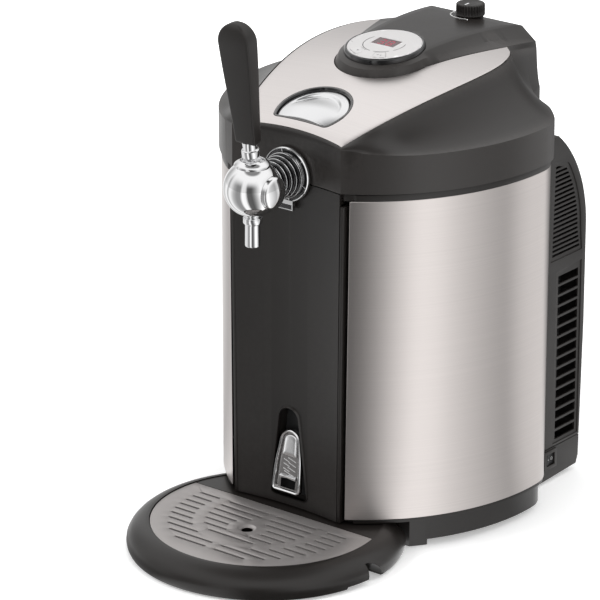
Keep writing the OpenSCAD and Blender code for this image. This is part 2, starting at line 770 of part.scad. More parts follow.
function crease_h(u) = u < 1 ? lid_z0 - 3 :
    u < 2 ? mix(crease_z, lid_z0 - 3, pow(clamp(1 - (u - 1) / 0.3), 2)) :
    mix(crease_z, crease_z - 6, clamp((u - 2) / 0.5));

// the steel plate's side edge, a cubic curve from the front corner to the tip
plate_p = [[front_hw - 2, 3], [80, 62], [121, 190], [82, 231]];
function cubic(p, t) = pow(1 - t, 3) * p[0] + 3 * pow(1 - t, 2) * t * p[1]
    + 3 * (1 - t) * t * t * p[2] + t * t * t * p[3];
plate_end = plate_p[3][1];
function plate_z(x, y) = lid_z1 - (lid_z1 - lid_z0) * pow(max(0, 1 - y / plate_end), 2.2)
    - lid_crown * pow(x / 96, 2);

// the console's foot, crease and top edge: a round nose, then flanks that widen to the tail
function nose(r, a) = [0, disc_y] + r * dir(a);
function flank(r, hw, u, y1) =
    u < 1 ? nose(r, mix(-90, -40, u)) :
    u < 1.4 ? nose(r, mix(-40, 0, (u - 1) / 0.4)) :
    u < 2 ? mix([r, disc_y], [mix(r, hw, (238 - disc_y) / (tail_y - disc_y)), 238], (u - 1.4) / 0.6) :
    u < 2.5 ? mix([mix(r, hw, (238 - disc_y) / (tail_y - disc_y)), 238], [hw, y1], (u - 2) / 0.5) :
    [hw * (3 - u) / 0.5, y1];
function console_top(y) = console_z - (y < 212 ? 0.00084 : 0.0009) * pow(y - 212, 2);

tail_foot_z = 418;
function with_z(p, z) = [p[0], p[1], z];
function foot_xy(u) = u < 2 ? flank(nose_r, 90, u, tail_y) : u < 2.5 ?
    mix(flank(nose_r, 90, 2, tail_y), [tail_hw - 5.5, tail_y - 0.8], ease((u - 2) / 0.5)) :
    [(tail_hw - 5.5) * (3 - u) / 0.5, tail_y - 0.8];
function foot_pt(u) = let (p = foot_xy(u), h = plate_z(p[0], p[1]))
    with_z(p, u < 2 ? h : mix(h, tail_foot_z + 6, ease(clamp((u - 2) / 0.5))));
function edge_xy(u) =
    u < 1 ? [(front_hw - 2) * u, bow_y((front_hw - 2) * u) + 3] :
    u < 2 ? cubic(plate_p, u - 1) :
    u < 2.5 ? mix(plate_p[3], [tail_hw - 4.5, tail_y - 0.4], ease((u - 2) / 0.5)) :
    [(tail_hw - 4.5) * (3 - u) / 0.5, tail_y - 0.4];
function edge_pt(u) = let (p = edge_xy(u), h = plate_z(p[0], p[1]))
    with_z(p, u < 2 ? h : mix(h, tail_foot_z, ease(clamp((u - 2) / 0.5))));

// the hollow flank between crease and plate: steep under the plate, flat towards the rim
function hollow(u, t) = let (a = with_z(rim(u), crease_h(u)), b = edge_pt(u),
    k = u < 1 ? 0.1 : mix(0.1, 0.66, clamp((u - 1) * 5)))
    let (m = [mix(a[0], b[0], k), mix(a[1], b[1], k),
        mix(a[2], b[2], u < 1 ? 0.8 : mix(0.8, 0.2, clamp((u - 1) * 5)))])
    (1 - t) * (1 - t) * a + 2 * t * (1 - t) * m + t * t * b;
function recess(u) = u <= 2 ? plate_t + gap : 0.3;
function on_plate(u, t, drop) =
    let (a = edge_xy(u), b = foot_xy(u), p = mix(a, b, t), q = edge_pt(u), f = foot_pt(u))
    with_z(p, (u <= 2 ? plate_z(p[0], p[1]) : mix(q[2], f[2], t)) - drop);
function console_pt(u, k) = let (
    p = k == 0 ? flank(nose_r - 3.5, 64.6, u, tail_y - 1.6) : k == 1 ? flank(37.5, 53, u, tail_y - 3)
        : 0.5 * flank(37.5, 53, u, tail_y - 3) + [0, 102])
    with_z(p, k == 0 ? console_top(p[1]) - mix(3.2, 11, clamp((p[1] - disc_y) / (tail_y - disc_y)))
        : console_top(p[1]) - (k == 1 ? 0.8 : 0));
// a point moved in towards the middle by g and down by d
function inset(p, g, d) = let (v = [p[0], p[1]] - lid_c(), n = norm(v), q = lid_c() + v * (1 - g / n))
    [q[0], q[1], p[2] - d];

plate_ts = [0.16, 0.34, 0.52, 0.7, 0.86];
function shell_column(u) = concat(
    [with_z(rim(u), seam_z), with_z(rim(u), crease_h(u))],
    [for (t = [0.2, 0.4, 0.6, 0.8]) hollow(u, t)],
    [edge_pt(u), inset(edge_pt(u), gap, recess(u))],
    [for (t = plate_ts) on_plate(u, t, recess(u))],
    [inset(foot_pt(u), -0.2, recess(u)), inset(foot_pt(u), gap, -0.4), console_pt(u, 0),
        console_pt(u, 1), console_pt(u, 2)]);
lid_in = 4.2;
function cave_column(u) = concat(
    [inset(with_z(rim(u), seam_z), lid_in, 0), inset(with_z(rim(u), crease_h(u)), lid_in, 5)],
    [for (t = [0.3, 0.6]) inset(hollow(u, t), lid_in, 4.5)],
    [inset(edge_pt(u), lid_in, 5)],
    [for (t = [0.16, 0.52, 0.86]) inset(on_plate(u, t, 0), lid_in * 0.6, 5)],
    [inset(foot_pt(u), lid_in + 1, 4.5), inset(console_pt(u, 0), lid_in + 1, 4.5),
        inset(console_pt(u, 1), lid_in + 1, 4.5), inset(console_pt(u, 2), 1, 4)]);

function flip_x(p) = [-p[0], p[1], p[2]];
// the ring at height-step k of a column function, right side first and then the left
function shell_ring(k, cols) = concat([for (c = cols) c[k]],
    [for (i = [len(cols) - 2:-1:1]) flip_x(cols[i][k])]);
function band(n, s, flip) = [for (i = [0:n - 1], h = [0, 1])
    let (a = s + i, b = s + (i + 1) % n, t = h == 0 ? [a, b, b + n] : [a, b + n, a + n])
    flip ? [t[0], t[2], t[1]] : t];
function fan_cap(n, s, c, flip)
    = [for (i = [0:n - 1]) let (a = s + i, b = s + (i + 1) % n) flip ? [a, c, b] : [a, b, c]];

module shell_body() {
    outer = [for (u = us) shell_column(u)];
    inner = [for (u = us) cave_column(u)];
    no = len(outer[0]);
    ni = len(inner[0]);
    n = 2 * len(us) - 2;
    top = console_z - 0.2;
    points = concat(
        [for (k = [0:no - 1]) each shell_ring(k, outer)],
        [for (k = [0:ni - 1]) each shell_ring(k, inner)],
        [[0, 204, top], [0, 204, top - lid_in]]);
    c = n * (no + ni);
    rim_faces = [for (i = [0:n - 1], h = [0, 1])
        let (a = i, b = (i + 1) % n, p = n * no + i, q = n * no + (i + 1) % n)
            h == 0 ? [a, p, q] : [a, q, b]];
    polyhedron(points, concat(
        [for (k = [0:no - 2]) each band(n, k * n, true)], fan_cap(n, (no - 1) * n, c, true),
        [for (k = [0:ni - 2]) each band(n, (no + k) * n, false)], fan_cap(n, (no + ni - 1) * n, c + 1, false),
        rim_faces), convexity = 10);
}

// ---- the button in the lid and its outline ----

button_y = 40;
button_r = 33.5;
button_front = 18;
press = 3.5;

module button_shape(g) {
    intersection() {
        translate([0, button_y]) circle(r = button_r + g, $fn = 96);
        translate([-60, button_y - button_front - g]) square([120, 120]);
    }
}

disc_z = console_top(disc_y);

module on_disc() {
    translate([0, disc_y, disc_z]) rotate([disc_tilt, 0, 0]) children();
}

bezel_t = 2.6;

knob_z = console_top(knob_y - 8);

module lid_shell() place() color(black) difference() {
    union() {
        shell_body();
        translate([0, knob_y, knob_z - 8]) cylinder(r = min(knob_d / 2 - 0.6, tail_y - knob_y - 0.4), h = 8);
    }
    rod_y(notch_r, -9, 20);
    box([-notch_r, notch_r], [-9, 14], [seam_z - 9, tap_z]);
    translate([0, 0, 360]) linear_extrude(99) button_shape(0.6);
    on_disc() translate([0, 0, -2]) cylinder(r = disc_d / 2 + bezel_t + gap, h = 20);
    on_disc() translate([0, 0, -20]) cylinder(r = disc_d / 2 - 6, h = 30);
    translate([0, knob_y, 400]) cylinder(r = 4 + run, h = 60);
}

module lid_plate() place() color(steel) difference() {
    // a strip between the plate's outer edge and the console's foot, swept from tip to tip
    side = [for (i = [0:front_n + side_n]) us[i]];
    cols = [for (u = side) concat(
        [inset(edge_pt(u), gap + 0.2, 0)], [for (t = plate_ts) on_plate(u, t, 0)],
            [inset(foot_pt(u), -0.6, 0)],
        [inset(foot_pt(u), -0.6, plate_t)], [for (i = [4:-1:0]) on_plate(u, plate_ts[i], plate_t)],
        [inset(edge_pt(u), gap + 0.2, plate_t)])];
    m = len(cols[0]);
    all = concat([for (i = [len(cols) - 1:-1:1]) [for (p = cols[i]) flip_x(p)]], cols);
    k = len(all);
    polyhedron([for (c = all) each c], concat(
        [for (s = [0:k - 2], i = [0:m - 1], h = [0, 1])
            let (a = s * m + i, b = s * m + (i + 1) % m) h == 0 ? [a, b, b + m] : [a, b + m, a + m]],
        [for (i = [1:m - 2]) [0, i + 1, i]],
        [for (i = [1:m - 2]) let (z = (k - 1) * m) [z, z + i, z + i + 1]]), convexity = 10);
    translate([0, 0, 360]) linear_extrude(99) button_shape(0.6);
}

pan_front = 28;
seat_z = pan_z1 + 14;
stem_r = 5;

module lid_pan() place() color(dark) {
    difference() {
        slab(-lid_in - 1, 6, pan_z0, pan_z1);
        bow(lid_in + 1.5, 0, 400);
        translate([0, well_y, 0]) cylinder(r = well_r - 6 + gap, h = 400, $fn = 128);
        box([-24, 54], [-9, pan_front], [0, 400]);
        both_sides() box([hook_x - hook_w / 2 - 1, hook_x + hook_w / 2 + 1],
            [hook_y[0] - 5.4, hook_y[1] + 5], [0, 400]);
    }
    // a bridge over the hook guides the button's stem and seats its spring
    difference() {
        union() {
            both_sides() box([9, 13], [pan_front + 1, hook_y[1] - 0.5], [pan_z1 - e, seat_z - 1]);
            box([-13, 13], [pan_front + 1, button_y + 7], [seat_z - 3.5, seat_z]);
        }
        translate([0, button_y, 0]) cylinder(r = stem_r + run, h = 400);
    }
}

// a deep insulated plug whose ring closes the well and whose dome leaves room for a coupler
module lid_liner() place() color([0.8, 0.8, 0.78]) {
    r = well_r - 6;
    translate([0, well_y, 0]) rotate_extrude($fn = 128) polygon([
        [r - 3, seam_z - 9], [r, seam_z - 9], [r, pan_z1], [r + 6, pan_z1], [r + 6, pan_z1 + 2.5],
        [r, pan_z1 + 2.5], [r, pan_z1 + 20], [0, pan_z1 + 20], [0, pan_z1 + 17], [r - 3, pan_z1 + 17]]);
}

module lid_seal() place() color(dark) {
    translate([0, well_y, deck_z1 + 0.3]) rotate_extrude($fn = 128) polygon([
        [seal_r - 3, 0], [seal_r + 1, 0], [seal_r + 2, pan_z0 - deck_z1 - 0.3],
            [seal_r - 4, pan_z0 - deck_z1 - 0.3]]);
}

// ---- console pieces ----

module disc_bezel() place() color("black") on_disc() difference() {
    translate([0, 0, -2]) cylinder(r = disc_d / 2 + bezel_t, h = 5.4);
    translate([0, 0, -3]) cylinder(r = disc_d / 2 - 4, h = 12);
    translate([0, 0, 0.4]) cylinder(r = disc_d / 2 + run, h = 12);
}

key_r = [22, 33];
key_a = 24;

module key_shape(a, g) {
    intersection() {
        difference() {
            circle(r = key_r[1] + g, $fn = 96);
            circle(r = key_r[0] - g, $fn = 96);
        }
        rotate(a) polygon([[0, 0], 60 * dir(-key_a / 2 - g * 1.2), 60 * dir(key_a / 2 + g * 1.2)]);
    }
}

window = [26, 15];
window_y = 3;

module control_disc() place() color([0.85, 0.86, 0.87]) on_disc() difference() {
    translate([0, 0, 0.4]) cylinder(r = disc_d / 2, h = 3.6);
    for (a = [-117, -63]) translate([0, 0, -1]) linear_extrude(9) key_shape(a, gap);
    translate([-window[0] / 2 - 0.05, window_y - window[1] / 2 - 0.05, 1])
        cube([window[0] + 0.1, window[1] + 0.1, 9]);
}

module display_window() place() color([0.25, 0.05, 0.08]) on_disc()
    translate([-window[0] / 2, window_y - window[1] / 2, 1]) cube([window[0], window[1], 2.8]);

module key(a) place() color([0.8, 0.81, 0.82]) on_disc() {
    translate([0, 0, 1.6]) linear_extrude(2.5) key_shape(a, 0);
    rotate(a) translate([27.5, 0, -3]) cylinder(r = 1.5, h = 4);
}

module key_left() key(-117);
module key_right() key(-63);

module control_board() place() color([0.1, 0.35, 0.2]) on_disc() {
    translate([0, 0, -6]) cylinder(r = disc_d / 2 - 9, h = 1.6);
    for (a = [0, 90, 180]) rotate(a + 45) translate([disc_d / 2 - 11, 0, -5]) cylinder(r = 2, h = 5.4);
    for (a = [-117, -63]) rotate(a) translate([27.5, 0, -4.5]) cylinder(r = 1.6, h = 0.5);
}

// ribbed all round, on a plain skirt
module pressure_knob() place() color(black) translate([0, knob_y, knob_z]) difference() {
    union() {
        translate([0, 0, gap]) cylinder(r = knob_d / 2, h = 2);
        translate([0, 0, 2]) cylinder(r = knob_d / 2 - 1.2, h = knob_h - 2);
    }
    for (a = [0:12:359]) rotate(a) translate([knob_d / 2 - 0.9, 0, 3])
        cylinder(r = 0.7, h = knob_h, $fn = 16);
    translate([0, 0, -1]) cylinder(r = 3, h = 8);
}

reg_z = [384, 424];

module knob_spindle() place() color(alloy) translate([0, knob_y, 0]) {
    translate([0, 0, reg_z[1] + gap]) cylinder(r = 4, h = knob_z - reg_z[1] - gap);
    translate([0, 0, knob_z - e]) cylinder(r = 3, h = 7);
}

module gas_regulator() place() color(alloy) difference() {
    union() {
        box([-15, 15], [knob_y - 18, knob_y + 3], reg_z);
        rod_y(13, knob_y - 27, knob_y - 17, 398);
        both_sides() box([15 - e, 22], [knob_y - 18, knob_y - 8],
            [reg_z[1] - 6, console_top(knob_y - 8) - lid_in - 2]);
    }
    rod_y(4 + gap, knob_y - 28, knob_y - 15, 398);
    rod_y(11.3, knob_y - 28, knob_y - 23, 398);
}

module gas_cartridge() place() color([0.7, 0.72, 0.75]) {
    translate([0, knob_y - 23, 398]) rotate([90, 0, 0]) rotate_extrude() polygon(concat(
        [[0, -7], [4, -7], [4, 2]], arc([4, 9], 7, -90, 0, 6), arc([0, 78], 11, 0, 90, 8)));
}

// underside of the button's cap, and the hook bar's front edge that the stem's foot bears on
cap_z0 = 389;
bar_y = hook_y[1] + 1;
bar_z = [pan_z1 + gap, pan_z1 + 6.4];

module lid_button() place() color(chrome) {
    tilt = 17;
    difference() {
        translate([0, 0, cap_z0 - 3]) linear_extrude(60) button_shape(0);
        translate([0, button_y, plate_z(0, button_y) + 3]) rotate([tilt, 0, 0]) translate([0, 0, -120])
            difference() {
            translate([0, 0, 150]) cube([300, 300, 300], center = true);
            sphere(r = 120, $fn = 96);
        }
        translate([0, 0, cap_z0 - 5]) linear_extrude(5) button_shape(-2.4);
    }
    translate([0, button_y, bar_z[1] + press + 0.15])
        cylinder(r = stem_r, h = cap_z0 - bar_z[1] - press + 0.85);
    // the foot's slope pushes the hook's bar back as the button goes down
    difference() {
        box([-5, 5], [bar_y - 6, button_y + 2], [pan_z1 + 5, bar_z[1] + press + 0.4]);
        translate([0, bar_y, bar_z[1] + 0.1]) rotate([45, 0, 0]) box([-9, 9], [-30, 30], [-30, 0]);
    }
}

spring_r = 7.2;
spring_wire = 0.8;

module button_spring() place() color(chrome) {
    curls = 4;
    h = cap_z0 - seat_z - 2 * spring_wire;
    tube([for (i = [0:curls * 8]) [spring_r * cos(45 * i), button_y + spring_r * sin(45 * i),
        seat_z + spring_wire + h * i / (curls * 8)]], spring_wire, 6);
}

// a slide with two claws; its bar is pushed back by the button's foot
module lid_hook() place() color(dark) {
    z = pan_z1 + gap;
    box([-hook_x - hook_w / 2, hook_x + hook_w / 2], [bar_y, bar_y + 2], bar_z);
    both_sides() {
        box([hook_x - hook_w / 2, hook_x + hook_w / 2], [hook_y[0], hook_y[1] + 1 + e], [z - 16, z + 4]);
        box([hook_x - hook_w / 2, hook_x + hook_w / 2], [hook_y[0] - 2, hook_y[0] + e], [z - 16, z - 12]);
    }
}

module hook_catch() place() color(steel) {
    z = deck_z1 - 4;
    both_sides() box([hook_x - hook_w / 2 - 1, hook_x + hook_w / 2 + 1],
        [hook_y[0] - 6, hook_y[0] - 2 - gap], [z - 3, z + 2]);
}

// ---- tap ----

module tap_shank() place() color(dark) difference() {
    union() {
        // ringed collar from the ball to the panel
        for (i = [0:3]) rod_y(mix(shank_r - 2, shank_r + 3.4, i / 3), -ball_y + 22 + 5 * i,
            -ball_y + 26 + 5 * i);
        rod_y(shank_r - 3, -ball_y + 21, 3);
        rod_y(shank_r, -1, 11);
        rod_y(shank_r + 3, 11, 14);
        rod_y(9, 13, 26);
        rod_x(3, 0, hose_route[0][0], hose_route[0][1], tap_z);
    }
    rod_y(4, -99, hose_route[0][1]);
    rod_x(1.8, 0, 30, hose_route[0][1], tap_z);
    rod_y(8 + run, -99, -ball_y + ball_r + 6);
    translate([0, -ball_y, tap_z]) sphere(r = ball_r + 0.1, $fn = 96);
}

module tap_locking_ring() place() color(chrome) {
    difference() {
        union() {
            rod_y(ring_r, -0.6, 3.2);
            rod_y(shank_r + 6, -2.4, 0);
            box([-8.5, 8.5], [-1.4, 3.2], [tap_z - ring_r - 7, tap_z - ring_r + 4]);
        }
        rod_y(shank_r + run, -9, 9);
        difference() {
            rod_y(ring_r - 1.6, -9, 0.6);
            rod_y(shank_r + 6, -10, 9);
        }
    }
}

module tap_body() place() color(chrome) {
    tap_shell();
    rod_x(2, -13, 13, -ball_y, lever_z);
}

module tap_shell() difference() {
    union() {
        translate([0, -ball_y, tap_z]) sphere(r = ball_r, $fn = 96);
        rod_y(8, -ball_y + 20, -ball_y + ball_r + 6);
    }
    rod_y(chamber_r, -ball_y - 16, -ball_y + 22);
    rod_y(4, -99 + 60, 20);
    translate([0, -ball_y, spout_z]) cylinder(r = spout_bore / 2, h = tap_z - spout_z);
    translate([0, -ball_y, tap_z - ball_r - 9]) cylinder(r = 6.2, h = 16);
    translate([0, -ball_y, tap_z + 5.6]) cylinder(r = socket_r + 0.4, h = 60);
    translate([0, -ball_y, bonnet_z]) cylinder(r = 30, h = 60);
    rod_x(15 + gap, ball_r - 5, 60, -ball_y, tap_z);
}

module tap_bonnet() place() color(chrome) translate([0, -ball_y, 0]) difference() {
    union() {
        translate([0, 0, bonnet_z]) cylinder(r = 15.5, h = 1.4);
        translate([0, 0, bonnet_z + 1.4 - e]) cylinder(r1 = 15.5, r2 = 13.4, h = 1.4);
    }
    translate([0, 0, lever_z]) sphere(r = socket_r + 0.4, $fn = 96);
    translate([0, 0, bonnet_z - 1]) cylinder(r = 8.9, h = 4);
    translate([0, 0, bonnet_z + 1.6]) cylinder(r = 10.6, h = 9);
}

module tap_side_cap() place() color(chrome) intersection() {
    rod_x(15, ball_r - 5, 60, -ball_y, tap_z);
    translate([ball_r + 4 - 28, -ball_y, tap_z]) sphere(r = 28, $fn = 96);
}

module tap_spout() place() color(chrome) translate([0, -ball_y, 0]) difference() {
    union() {
        translate([0, 0, spout_z]) cylinder(r = 6, h = tap_z - ball_r + 6 - spout_z);
        translate([0, 0, tap_z - ball_r - 6]) cylinder(r = 8.8, h = 6);
    }
    translate([0, 0, spout_z - 1]) cylinder(r = spout_bore / 2, h = 60);
}

// the lever's own axis, leaning as it stands
module on_lever() {
    translate([0, -ball_y, lever_z]) rotate([lever_lean, 0, 0]) children();
}

handle_z0 = 29;
finger_l = 16.5;

module tap_lever() place() color(chrome) on_lever() {
    difference() {
        union() {
            sphere(r = socket_r, $fn = 96);
            cylinder(r = 5.6, h = handle_z0 + 8);
        }
        rotate([0, 90, 0]) cylinder(r = 2 + run, h = 40, center = true);
    }
    translate([0, 0, 13.6]) cylinder(r = 8.2, h = 7.6);
    translate([0, 0, 21.2 - e]) cylinder(r1 = 6.2, r2 = 7, h = handle_z0 - 21.2 + e);
    translate([0, 0, -finger_l]) cylinder(r = 1.6, h = 8);
    translate([0, 0, -finger_l]) sphere(r = 2.5);
}

// a flat paddle that widens to a round top, with bevelled sides at the back
module handle_section(w, t, z, h) {
    translate([0, 0, z]) linear_extrude(h) polygon([
        [-w / 2 + 3, -t / 2], [w / 2 - 3, -t / 2], [w / 2, -t / 2 + 3], [w / 2 - 4, t / 2 - 2],
        [w / 2 - 9, t / 2], [-w / 2 + 9, t / 2], [-w / 2 + 4, t / 2 - 2], [-w / 2, -t / 2 + 3]]);
}

module tap_handle() place() color(black) on_lever() difference() {
    hull() {
        handle_section(handle_w0, 20, handle_z0, 1);
        handle_section(handle_w1, 23, handle_z0 + handle_l * 0.72, 1);
        translate([0, 6, handle_z0 + handle_l - handle_w1 / 2]) rotate([90, 0, 0])
            cylinder(r = handle_w1 / 2 - 3, h = 14, $fn = 32);
        translate([0, 9.5, handle_z0 + handle_l - handle_w1 / 2 - 2]) rotate([90, 0, 0])
            cylinder(r = handle_w1 / 2 - 7, h = 19, $fn = 32);
    }
    translate([0, 0, handle_z0 - 1]) cylinder(r = 5.6 + run, h = 10);
}

module valve_plug() place() color(alloy) difference() {
    union() {
        rod_y(5, -ball_y - 8, -ball_y + 18);
        rod_y(6.4, -ball_y + 10, -ball_y + 14);
    }
    translate([0, -ball_y + finger_l * sin(lever_lean), tap_z - 3]) box([-9, 9], [-3, 3], [0, 20]);
}

// ---- hose and coupler ----

function unit(v) = v / norm(v);
// a round tube through the points of a route, s-sided, as one closed surface
module tube(route, r, s) {
    n = len(route);
    ways = [for (i = [0:n - 1]) unit(route[min(i + 1, n - 1)] - route[max(i - 1, 0)])];
    points = [for (i = [0:n - 1]) let (w = ways[i], a = unit(cross(w, [0, 0, 1])), b = cross(a, w))
        each [for (k = [0:s - 1]) route[i] + r * (cos(360 * k / s) * a + sin(360 * k / s) * b)]];
    polyhedron(points, concat(
        [for (i = [0:n - 2], k = [0:s - 1], h = [0, 1])
            let (p = i * s + k, q = i * s + (k + 1) % s) h == 0 ? [p, q, q + s] : [p, q + s, p + s]],
        [[for (k = [s - 1:-1:0]) k]], [[for (k = [0:s - 1]) (n - 1) * s + k]]));
}

module beer_hose() place() color([0.85, 0.85, 0.8]) tube(hose_route, hose_r, 10);

module keg_coupler() place() color([0.75, 0.76, 0.78]) {
    translate([park[0], park[1], deck_z0 - 31]) {
        cylinder(r = coupler_r, h = 30);
        translate([0, 0, 30 - e]) cylinder(r = 4, h = deck_z1 - deck_z0 + 2);
    }
    rod_x(2.2, park[0], park[0] + 9, park[1], hose_z);
}

// ---- drip tray ----

// profile of the tray's wall, as [radius, height], with a fat round outer edge
function tray_profile() = [
    [0, 0.6], [tray_r - 4, 0.6], [tray_r - 1.6, 2], [tray_r - 0.4, 4.6], [tray_r, 8], [tray_r - 0.6, 12],
    [tray_r - 2.6, 16], [tray_r - 6, 20], [tray_r - 10, 23.2], [tray_r - 14, 25.4], [tray_r - 17.5, 26.6],
    [tray_r - 19, 27], [grille_r + gap + 0.3, 27], [grille_r + gap, grille_z - 2.6],
    [grille_r - 5, grille_z - 2.6], [grille_r - 7, 3.6], [0, 3.6]];
tray_back = 44;
// a fixed ledge fills the tray behind the grille, level with it
ledge_y = -5;

module drip_tray() place() color(black) {
    difference() {
        union() {
            difference() {
                translate([0, -tray_y, 0]) rotate_extrude($fn = 128) polygon(tray_profile());
                box([-200, 200], [tray_back, 400], [-1, 400]);
                // a finger notch and a step in the rim's underside on each side
                both_sides() {
                    box([112, 150], [-66, -19], [-1, 4.6]);
                    intersection() {
                        translate([113, -41, 0]) rotate([0, 90, 0]) cylinder(r = 19, h = 40);
                        box([110, 160], [-41, 0], [-1, 30]);
                    }
                }
            }
            // a wall closes the basin under the body
            intersection() {
                translate([0, -tray_y, 0]) cylinder(r = tray_r - 6, h = grille_z - 0.6);
                box([-200, 200], [tray_back - wall, tray_back], [0.6, grille_z - 0.6]);
            }
            intersection() {
                translate([0, -tray_y, 0]) cylinder(r = grille_r + 2, h = grille_z, $fn = 128);
                box([-200, 200], [ledge_y, tray_back], [grille_z - 2.6, grille_z]);
            }
            both_sides() box([tongue_x - tongue_w / 2, tongue_x + tongue_w / 2],
                [tray_back - e, base_front + 20], tongue_z);
        }
    }
}

drain_y = -58;
// the slots lie within a disc and a ring round this middle: [disc, ring inside, ring outside]
slot_y = -35;
slot_rings = [54, 65, 88];
function half_chord(r, y) = abs(y - slot_y) < r ? sqrt(r * r - pow(y - slot_y, 2)) : 0;

module drip_grille() place() color([0.42, 0.42, 0.42]) difference() {
    translate([0, -tray_y, grille_z - 2.6]) cylinder(r = grille_r, h = 2.6, $fn = 128);
    box([-200, 200], [ledge_y - gap, 400], [-1, 400]);
    for (row = [0:9]) {
        y = -20.5 - slot_pitch * row;
        near = abs(y - drain_y) < 19 ? max(4.5, sqrt(361 - pow(y - drain_y, 2))) : 4.5;
        reach = half_chord(slot_rings[0], y);
        if (row == 6) slot(-reach, reach, y);
        else if (reach - near > 9) both_sides() slot(near, reach, y);
        both_sides() slot(max(4.5, half_chord(slot_rings[1], y)), half_chord(slot_rings[2], y), y);
    }
    translate([0, drain_y, -1]) cylinder(r = 5.4, h = 99);
    translate([0, drain_y, grille_z - 1.6]) cylinder(r1 = 6.2, r2 = 8.6, h = 1.7);
}

// a slot with round ends, along x
module slot(x0, x1, y) {
    r = slot_w / 2;
    box([x0 + r, x1 - r], [y - r, y + r], [grille_z - 9, grille_z + 1]);
    for (x = [x0 + r, x1 - r]) translate([x, y, grille_z - 9]) cylinder(r = r, h = 10, $fn = 16);
}

base();
rubber_feet();
base_screws();
well_stand();
front_panel();
corner_trim_left();
corner_trim_right();
bottle_opener();
side_wrap_left();
side_wrap_right();
rear_housing();
fan_grille();
deck_ring();
keg_well();
foam_jacket();
cold_block();
peltier_module();
heat_sink();
fan_frame();
fan_rotor();
circuit_board();
power_supply();
mains_inlet();
switch_bezel();
rocker_switch();
hinge_base();
hinge_pin();
hinge_knuckle();
lid_shell();
lid_plate();
lid_pan();
lid_liner();
lid_seal();
disc_bezel();
control_disc();
display_window();
key_left();
key_right();
control_board();
pressure_knob();
knob_spindle();
gas_regulator();
gas_cartridge();
lid_button();
button_spring();
lid_hook();
hook_catch();
tap_shank();
tap_locking_ring();
tap_body();
tap_bonnet();
tap_side_cap();
tap_spout();
tap_lever();
tap_handle();
valve_plug();
beer_hose();
keg_coupler();
drip_tray();
drip_grille();
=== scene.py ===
"""Dresses the counter-top keg dispenser: steel skins, lid, tap, tray, controls and their finishes."""

import math

import bmesh
import bpy
from mathutils import Matrix, Vector


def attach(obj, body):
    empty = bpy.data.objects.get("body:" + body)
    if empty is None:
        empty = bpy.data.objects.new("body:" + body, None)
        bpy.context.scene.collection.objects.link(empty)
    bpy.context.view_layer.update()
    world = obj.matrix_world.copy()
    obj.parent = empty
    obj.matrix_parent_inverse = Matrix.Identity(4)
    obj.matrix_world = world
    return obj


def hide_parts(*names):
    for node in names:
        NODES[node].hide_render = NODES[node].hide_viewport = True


bl_info = {
    "name": "Keg Dispenser Dressing",
    "version": (1, 0, 0),
    "blender": (4, 5, 0),
    "location": "View3D > Sidebar > Dispenser",
    "description": "Builds the visible pieces and finishes of a counter-top keg dispenser on its fixed frame",
    "category": "Object",
}

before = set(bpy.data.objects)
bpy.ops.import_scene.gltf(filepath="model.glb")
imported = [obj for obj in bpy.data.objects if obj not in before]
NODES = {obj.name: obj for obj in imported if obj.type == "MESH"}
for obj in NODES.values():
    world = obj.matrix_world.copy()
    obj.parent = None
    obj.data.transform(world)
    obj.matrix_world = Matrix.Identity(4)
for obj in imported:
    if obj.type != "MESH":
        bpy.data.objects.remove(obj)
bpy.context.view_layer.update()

# the body's corner plane lies this far in front of the object's own middle
MID = 0.072


def at(x, y, z):
    """A place given in millimetres from the body's corner plane and the floor."""
    return Vector((x / 1000, y / 1000 - MID, z / 1000))


def on(matrix, x, y, z):
    """A place given in millimetres along a matrix's own axes."""
    return matrix @ Vector((x / 1000, y / 1000, z / 1000))


def turn_by(degrees, axis):
    return Matrix.Rotation(math.radians(degrees), 4, axis)


def moved(x, y, z):
    return Matrix.Translation(at(x, y, z))


def mix(a, b, t):
    return a + (b - a) * t


def clamp(t):
    return min(1.0, max(0.0, t))


def ease(t):
    return t * t * (3 - 2 * t)


# ---- the sizes and colours a user would change ----


def length_setting(name, description, default):
    return bpy.props.FloatProperty(name=name, description=description, default=default, unit="LENGTH")


def colour_setting(name, description, default):
    kind = bpy.props.FloatVectorProperty
    return kind(name=name, description=description, default=default, size=3, subtype="COLOR")


class DispenserSizes(bpy.types.PropertyGroup):
    """Sizes of the visible pieces, in metres"""

    lid_overhang: length_setting("Lid overhang", "How far the lid's rim stands out over the steel", 0.0026)
    plate_edge: length_setting("Plate edge", "Rounding of the steel plate's edge", 0.0003)
    disc_width: length_setting("Disc width", "Diameter of the control disc", 0.0706)
    knob_ribs: bpy.props.IntProperty(
        name="Knob ribs", description="Ribs round the pressure knob", default=32
    )
    handle_foot: length_setting("Handle foot", "Width of the tap handle at its foot", 0.0225)
    handle_head: length_setting("Handle head", "Width of the tap handle near its top", 0.0345)
    edge_round: length_setting("Edge rounding", "Rounding of the moulded edges", 0.0005)
    grain_size: length_setting("Grain size", "Size of the moulded grain", 0.0006)


class DispenserColours(bpy.types.PropertyGroup):
    """Colours of the finishes, linear"""

    moulding: colour_setting("Moulding", "Satin black of the covers", (0.0118, 0.0099, 0.0088))
    panel: colour_setting("Front panel", "Satin black of the front panel", (0.0122, 0.0104, 0.0093))
    steel: colour_setting("Steel", "Brushed steel", (0.62, 0.578, 0.56))
    chrome: colour_setting("Chrome", "Chromed metal", (0.79, 0.79, 0.795))
    disc: colour_setting("Disc", "Silver lacquer of the control disc", (0.57, 0.555, 0.55))
    window: colour_setting("Window", "Tinted display window", (0.05, 0.003, 0.008))
    grille: colour_setting("Grille", "Satin grey metal of the drip grille", (0.42, 0.395, 0.385))
    floor: colour_setting("Floor", "Pale floor", (0.93, 0.93, 0.925))


# ---- shared shader effects ----


